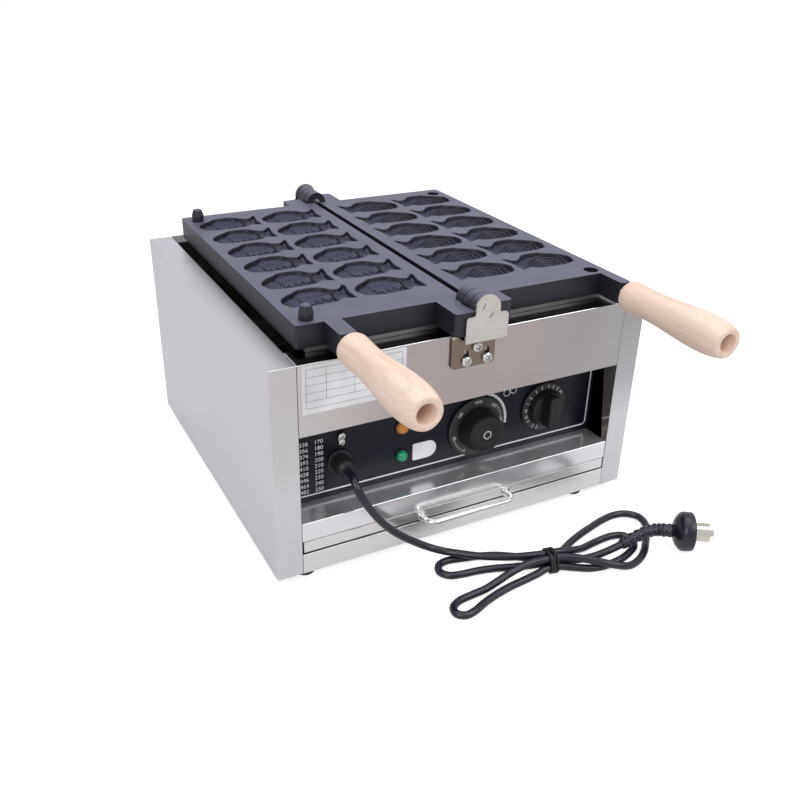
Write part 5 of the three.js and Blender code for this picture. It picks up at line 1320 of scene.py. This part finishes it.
# %% [markdown]
# Each relief becomes one mesh over the grid. Faces well outside the fish are left out, and a face counts as
# mould or as plate by its distance to the outline, so that the mould's darker coat, painted shade in the
# pocket, ends at the rim.

# %% Meshes of the moulds
def mould_mesh(name, relief):
    heights = np.where(inside > 0, relief * deep - basin, 0)
    rows, columns = X.shape
    points = np.stack([X, Y, heights], axis=-1).reshape(-1, 3) * MM
    faces, coats = [], []
    for r in range(rows - 1):
        for c in range(columns - 1):
            a = r * columns + c
            most = max(inside[r, c], inside[r + 1, c], inside[r, c + 1], inside[r + 1, c + 1])
            if most > -0.9:
                faces.append((a, a + 1, a + columns + 1, a + columns))
                coats.append(1 if most > 0 else 0)
    mesh = bpy.data.meshes.new(name)
    mesh.from_pydata(points.tolist(), [], faces)
    mesh.update()
    mesh.polygons.foreach_set("use_smooth", [True] * len(mesh.polygons))
    # The second coat is the darker copy, painted shade in the pockets.
    for coat in (plate_coating, pocket_shade_coating):
        mesh.materials.append(coat)
    mesh.polygons.foreach_set("material_index", coats)
    return mesh


moulds = {"left": mould_mesh("left_fish_mould", left_relief),
          "right": mould_mesh("right_fish_mould", right_relief)}
print("mould faces", len(moulds["left"].polygons))

# %% [markdown]
# The frame's plates already hold plain fish-shaped pockets. The pocket faces are left out of a
# copy of each plate, and the fine shells drop into the holes. All shells of a plate share one
# mesh, noses to the outside. Mirroring a shell turns its faces inside out, so the mesh of the
# right plate is mirrored once and its faces are turned back.

# %% Plates with their shells
ROW_PITCH, COLUMN_PITCH, FRONT_MARGIN, TAIL_INSET = 46.6, 68, 34, 14.5
POCKET_FLOOR = PLATE_TOP - FISH_DEPTH - 0.4


def mirrored_mesh(mesh):
    work = bmesh.new()
    work.from_mesh(mesh)
    bmesh.ops.scale(work, vec=(-1, 1, 1), verts=work.verts)
    bmesh.ops.reverse_faces(work, faces=work.faces)
    work.to_mesh(mesh)
    work.free()


mirrored_mesh(moulds["right"])


def mould_places():
    """Row and column of each mould, with the distance of its nose from the hinge and its front."""
    for row in range(6):
        for column in range(2):
            nose = TAIL_INSET + FISH_LENGTH + column * COLUMN_PITCH
            yield row, column, nose, PLATE_FRONT + FRONT_MARGIN + row * ROW_PITCH


def in_pocket(point, side):
    x, y, z = (c / MM for c in point)
    return POCKET_FLOOR < z < PLATE_TOP - 0.02 and any(
        -0.5 < nose - side * x < FISH_LENGTH + 0.5 and -0.5 < y - foot < FISH_HEIGHT + 0.5
        for row, column, nose, foot in mould_places())


for side_name, side in (("left", -1), ("right", 1)):
    body = f"{side_name}_plate"
    work = bmesh.new()
    work.from_mesh(nodes[body].data)
    bmesh.ops.remove_doubles(work, verts=work.verts, dist=0.00001)
    pocket = [face for face in work.faces if in_pocket(face.calc_center_median(), side)
              and all(v.co.z / MM > POCKET_FLOOR for v in face.verts)]
    bmesh.ops.delete(work, geom=pocket, context="FACES")
    bmesh.ops.dissolve_limit(work, angle_limit=math.radians(0.5), verts=work.verts, edges=work.edges)
    mesh = bpy.data.meshes.new(f"{side_name}_casting")
    work.to_mesh(mesh)
    work.free()
    mesh.polygons.foreach_set("use_smooth", [True] * len(mesh.polygons))
    mesh.set_sharp_from_angle(angle=math.radians(32))
    mesh.materials.clear()
    mesh.materials.append(plate_coating)
    mesh.polygons.foreach_set("material_index", [0] * len(mesh.polygons))
    casting = placed(f"{side_name}_casting", mesh)
    soften(casting, 1.4, 4, 50, harden=True)
    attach(casting, body)
    stand_for(casting, "plate_coating", body)
    for row, column, nose, foot in mould_places():
        shell = placed(f"{side_name}_mould_{row + 1}_{column + 1}", moulds[side_name])
        shell.location = (side * nose * MM, foot * MM, (PLATE_TOP + 0.03) * MM)
        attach(shell, body)
        stand_for(shell, "plate_coating")
    print(side_name, "plate: left out", len(pocket), "pocket faces")

# %% [markdown]
# ## The floor
# The machine stands on a pale floor. To the camera and in reflections the floor adds a little
# light of its own, so that it reads white without more lamp light on the machine, and it still
# takes the machine's shadow.

# %% Floor
FLOOR_REACH, FLOOR_DROP = 25, 0.0004
CAMERA_GLOW, GLOSSY_GLOW = 0.75, 0.28


def studio_floor():
    mesh = bpy.data.meshes.new("studio_floor")
    corners = [(x * FLOOR_REACH, y * FLOOR_REACH, 0) for x, y in ((-1, -1), (1, -1), (1, 1), (-1, 1))]
    mesh.from_pydata(corners, [], [(0, 1, 2, 3)])
    floor = placed("studio_floor", mesh)
    floor.location.z = -FLOOR_DROP
    material = bpy.data.materials.new("studio_floor")
    material.use_nodes = True
    tree = material.node_tree
    tree.nodes.clear()
    join = tree.links.new
    output = add_node(tree, "ShaderNodeOutputMaterial")
    paper = add_node(tree, "ShaderNodeBsdfDiffuse", Color=(0.62, 0.62, 0.63, 1))
    glow = add_node(tree, "ShaderNodeEmission")
    rays = add_node(tree, "ShaderNodeLightPath")
    direct = add_node(tree, "ShaderNodeMath", operation="MULTIPLY")
    direct.inputs[1].default_value = CAMERA_GLOW
    strength = add_node(tree, "ShaderNodeMath", operation="MULTIPLY_ADD")
    strength.inputs[1].default_value = GLOSSY_GLOW
    both = add_node(tree, "ShaderNodeAddShader")
    join(rays.outputs["Is Camera Ray"], direct.inputs[0])
    join(rays.outputs["Is Glossy Ray"], strength.inputs[0])
    join(direct.outputs[0], strength.inputs[2])
    join(strength.outputs[0], glow.inputs["Strength"])
    join(paper.outputs[0], both.inputs[0])
    join(glow.outputs[0], both.inputs[1])
    join(both.outputs[0], output.inputs["Surface"])
    mesh.materials.append(material)


studio_floor()
print("floor", 2 * FLOOR_REACH, "m wide")

# %% [markdown]
# ## The room
# Plain white is behind the machine. The light that comes from the room is cooler and weaker, and
# in reflections it is stronger, so that the steel looks bright while its shaded faces stay grey.

# %% World
ROOM_LIGHT, GLOSSY_LIGHT = 0.45, 0.4


def studio_world():
    world = bpy.data.worlds.new("studio_world")
    bpy.context.scene.world = world
    world.use_nodes = True
    tree = world.node_tree
    tree.nodes.clear()
    join = tree.links.new
    output = add_node(tree, "ShaderNodeOutputWorld")
    room = add_node(tree, "ShaderNodeBackground", Color=(0.93, 0.95, 1, 1))
    backdrop = add_node(tree, "ShaderNodeBackground", Color=(1, 1, 1, 1))
    rays = add_node(tree, "ShaderNodeLightPath")
    level = add_node(tree, "ShaderNodeMath", operation="MULTIPLY_ADD")
    level.inputs[1].default_value = GLOSSY_LIGHT
    level.inputs[2].default_value = ROOM_LIGHT
    mix = add_node(tree, "ShaderNodeMixShader")
    join(rays.outputs["Is Glossy Ray"], level.inputs[0])
    join(level.outputs[0], room.inputs["Strength"])
    join(rays.outputs["Is Camera Ray"], mix.inputs[0])
    join(room.outputs[0], mix.inputs[1])
    join(backdrop.outputs[0], mix.inputs[2])
    join(mix.outputs[0], output.inputs["Surface"])


studio_world()
print("room light", ROOM_LIGHT)

# %% [markdown]
# ## The lamps
# Three soft lamps: a large one overhead, a warm one from the left front and a weak cool one from
# the right. Area lamps give the soft shadow under the machine that the photo has.

# %% Lamps of the studio
def softbox(name, place, aim, size, power, colour=(1, 1, 1)):
    data = bpy.data.lights.new(name, "AREA")
    data.shape = "RECTANGLE"
    data.size, data.size_y = size
    data.energy = power
    data.color = colour
    lamp = placed(name, data)
    lamp.location = place
    lamp.rotation_euler = (Vector(aim) - Vector(place)).to_track_quat("-Z", "Y").to_euler()


softbox("overhead", (0.1, 0.1, 1.9), (0, 0.05, 0.1), (1.8, 1.8), 17)
softbox("key", (-1.5, -1.2, 1.3), (0, 0, 0.12), (1.1, 1.1), 13, (1, 0.98, 0.95))
softbox("fill", (0.8, -1.1, 1.25), (0, -0.05, 0.2), (1.3, 0.8), 9, (0.96, 0.98, 1))
bpy.context.scene.view_settings.view_transform = "Standard"
print("lamps of the studio lit")
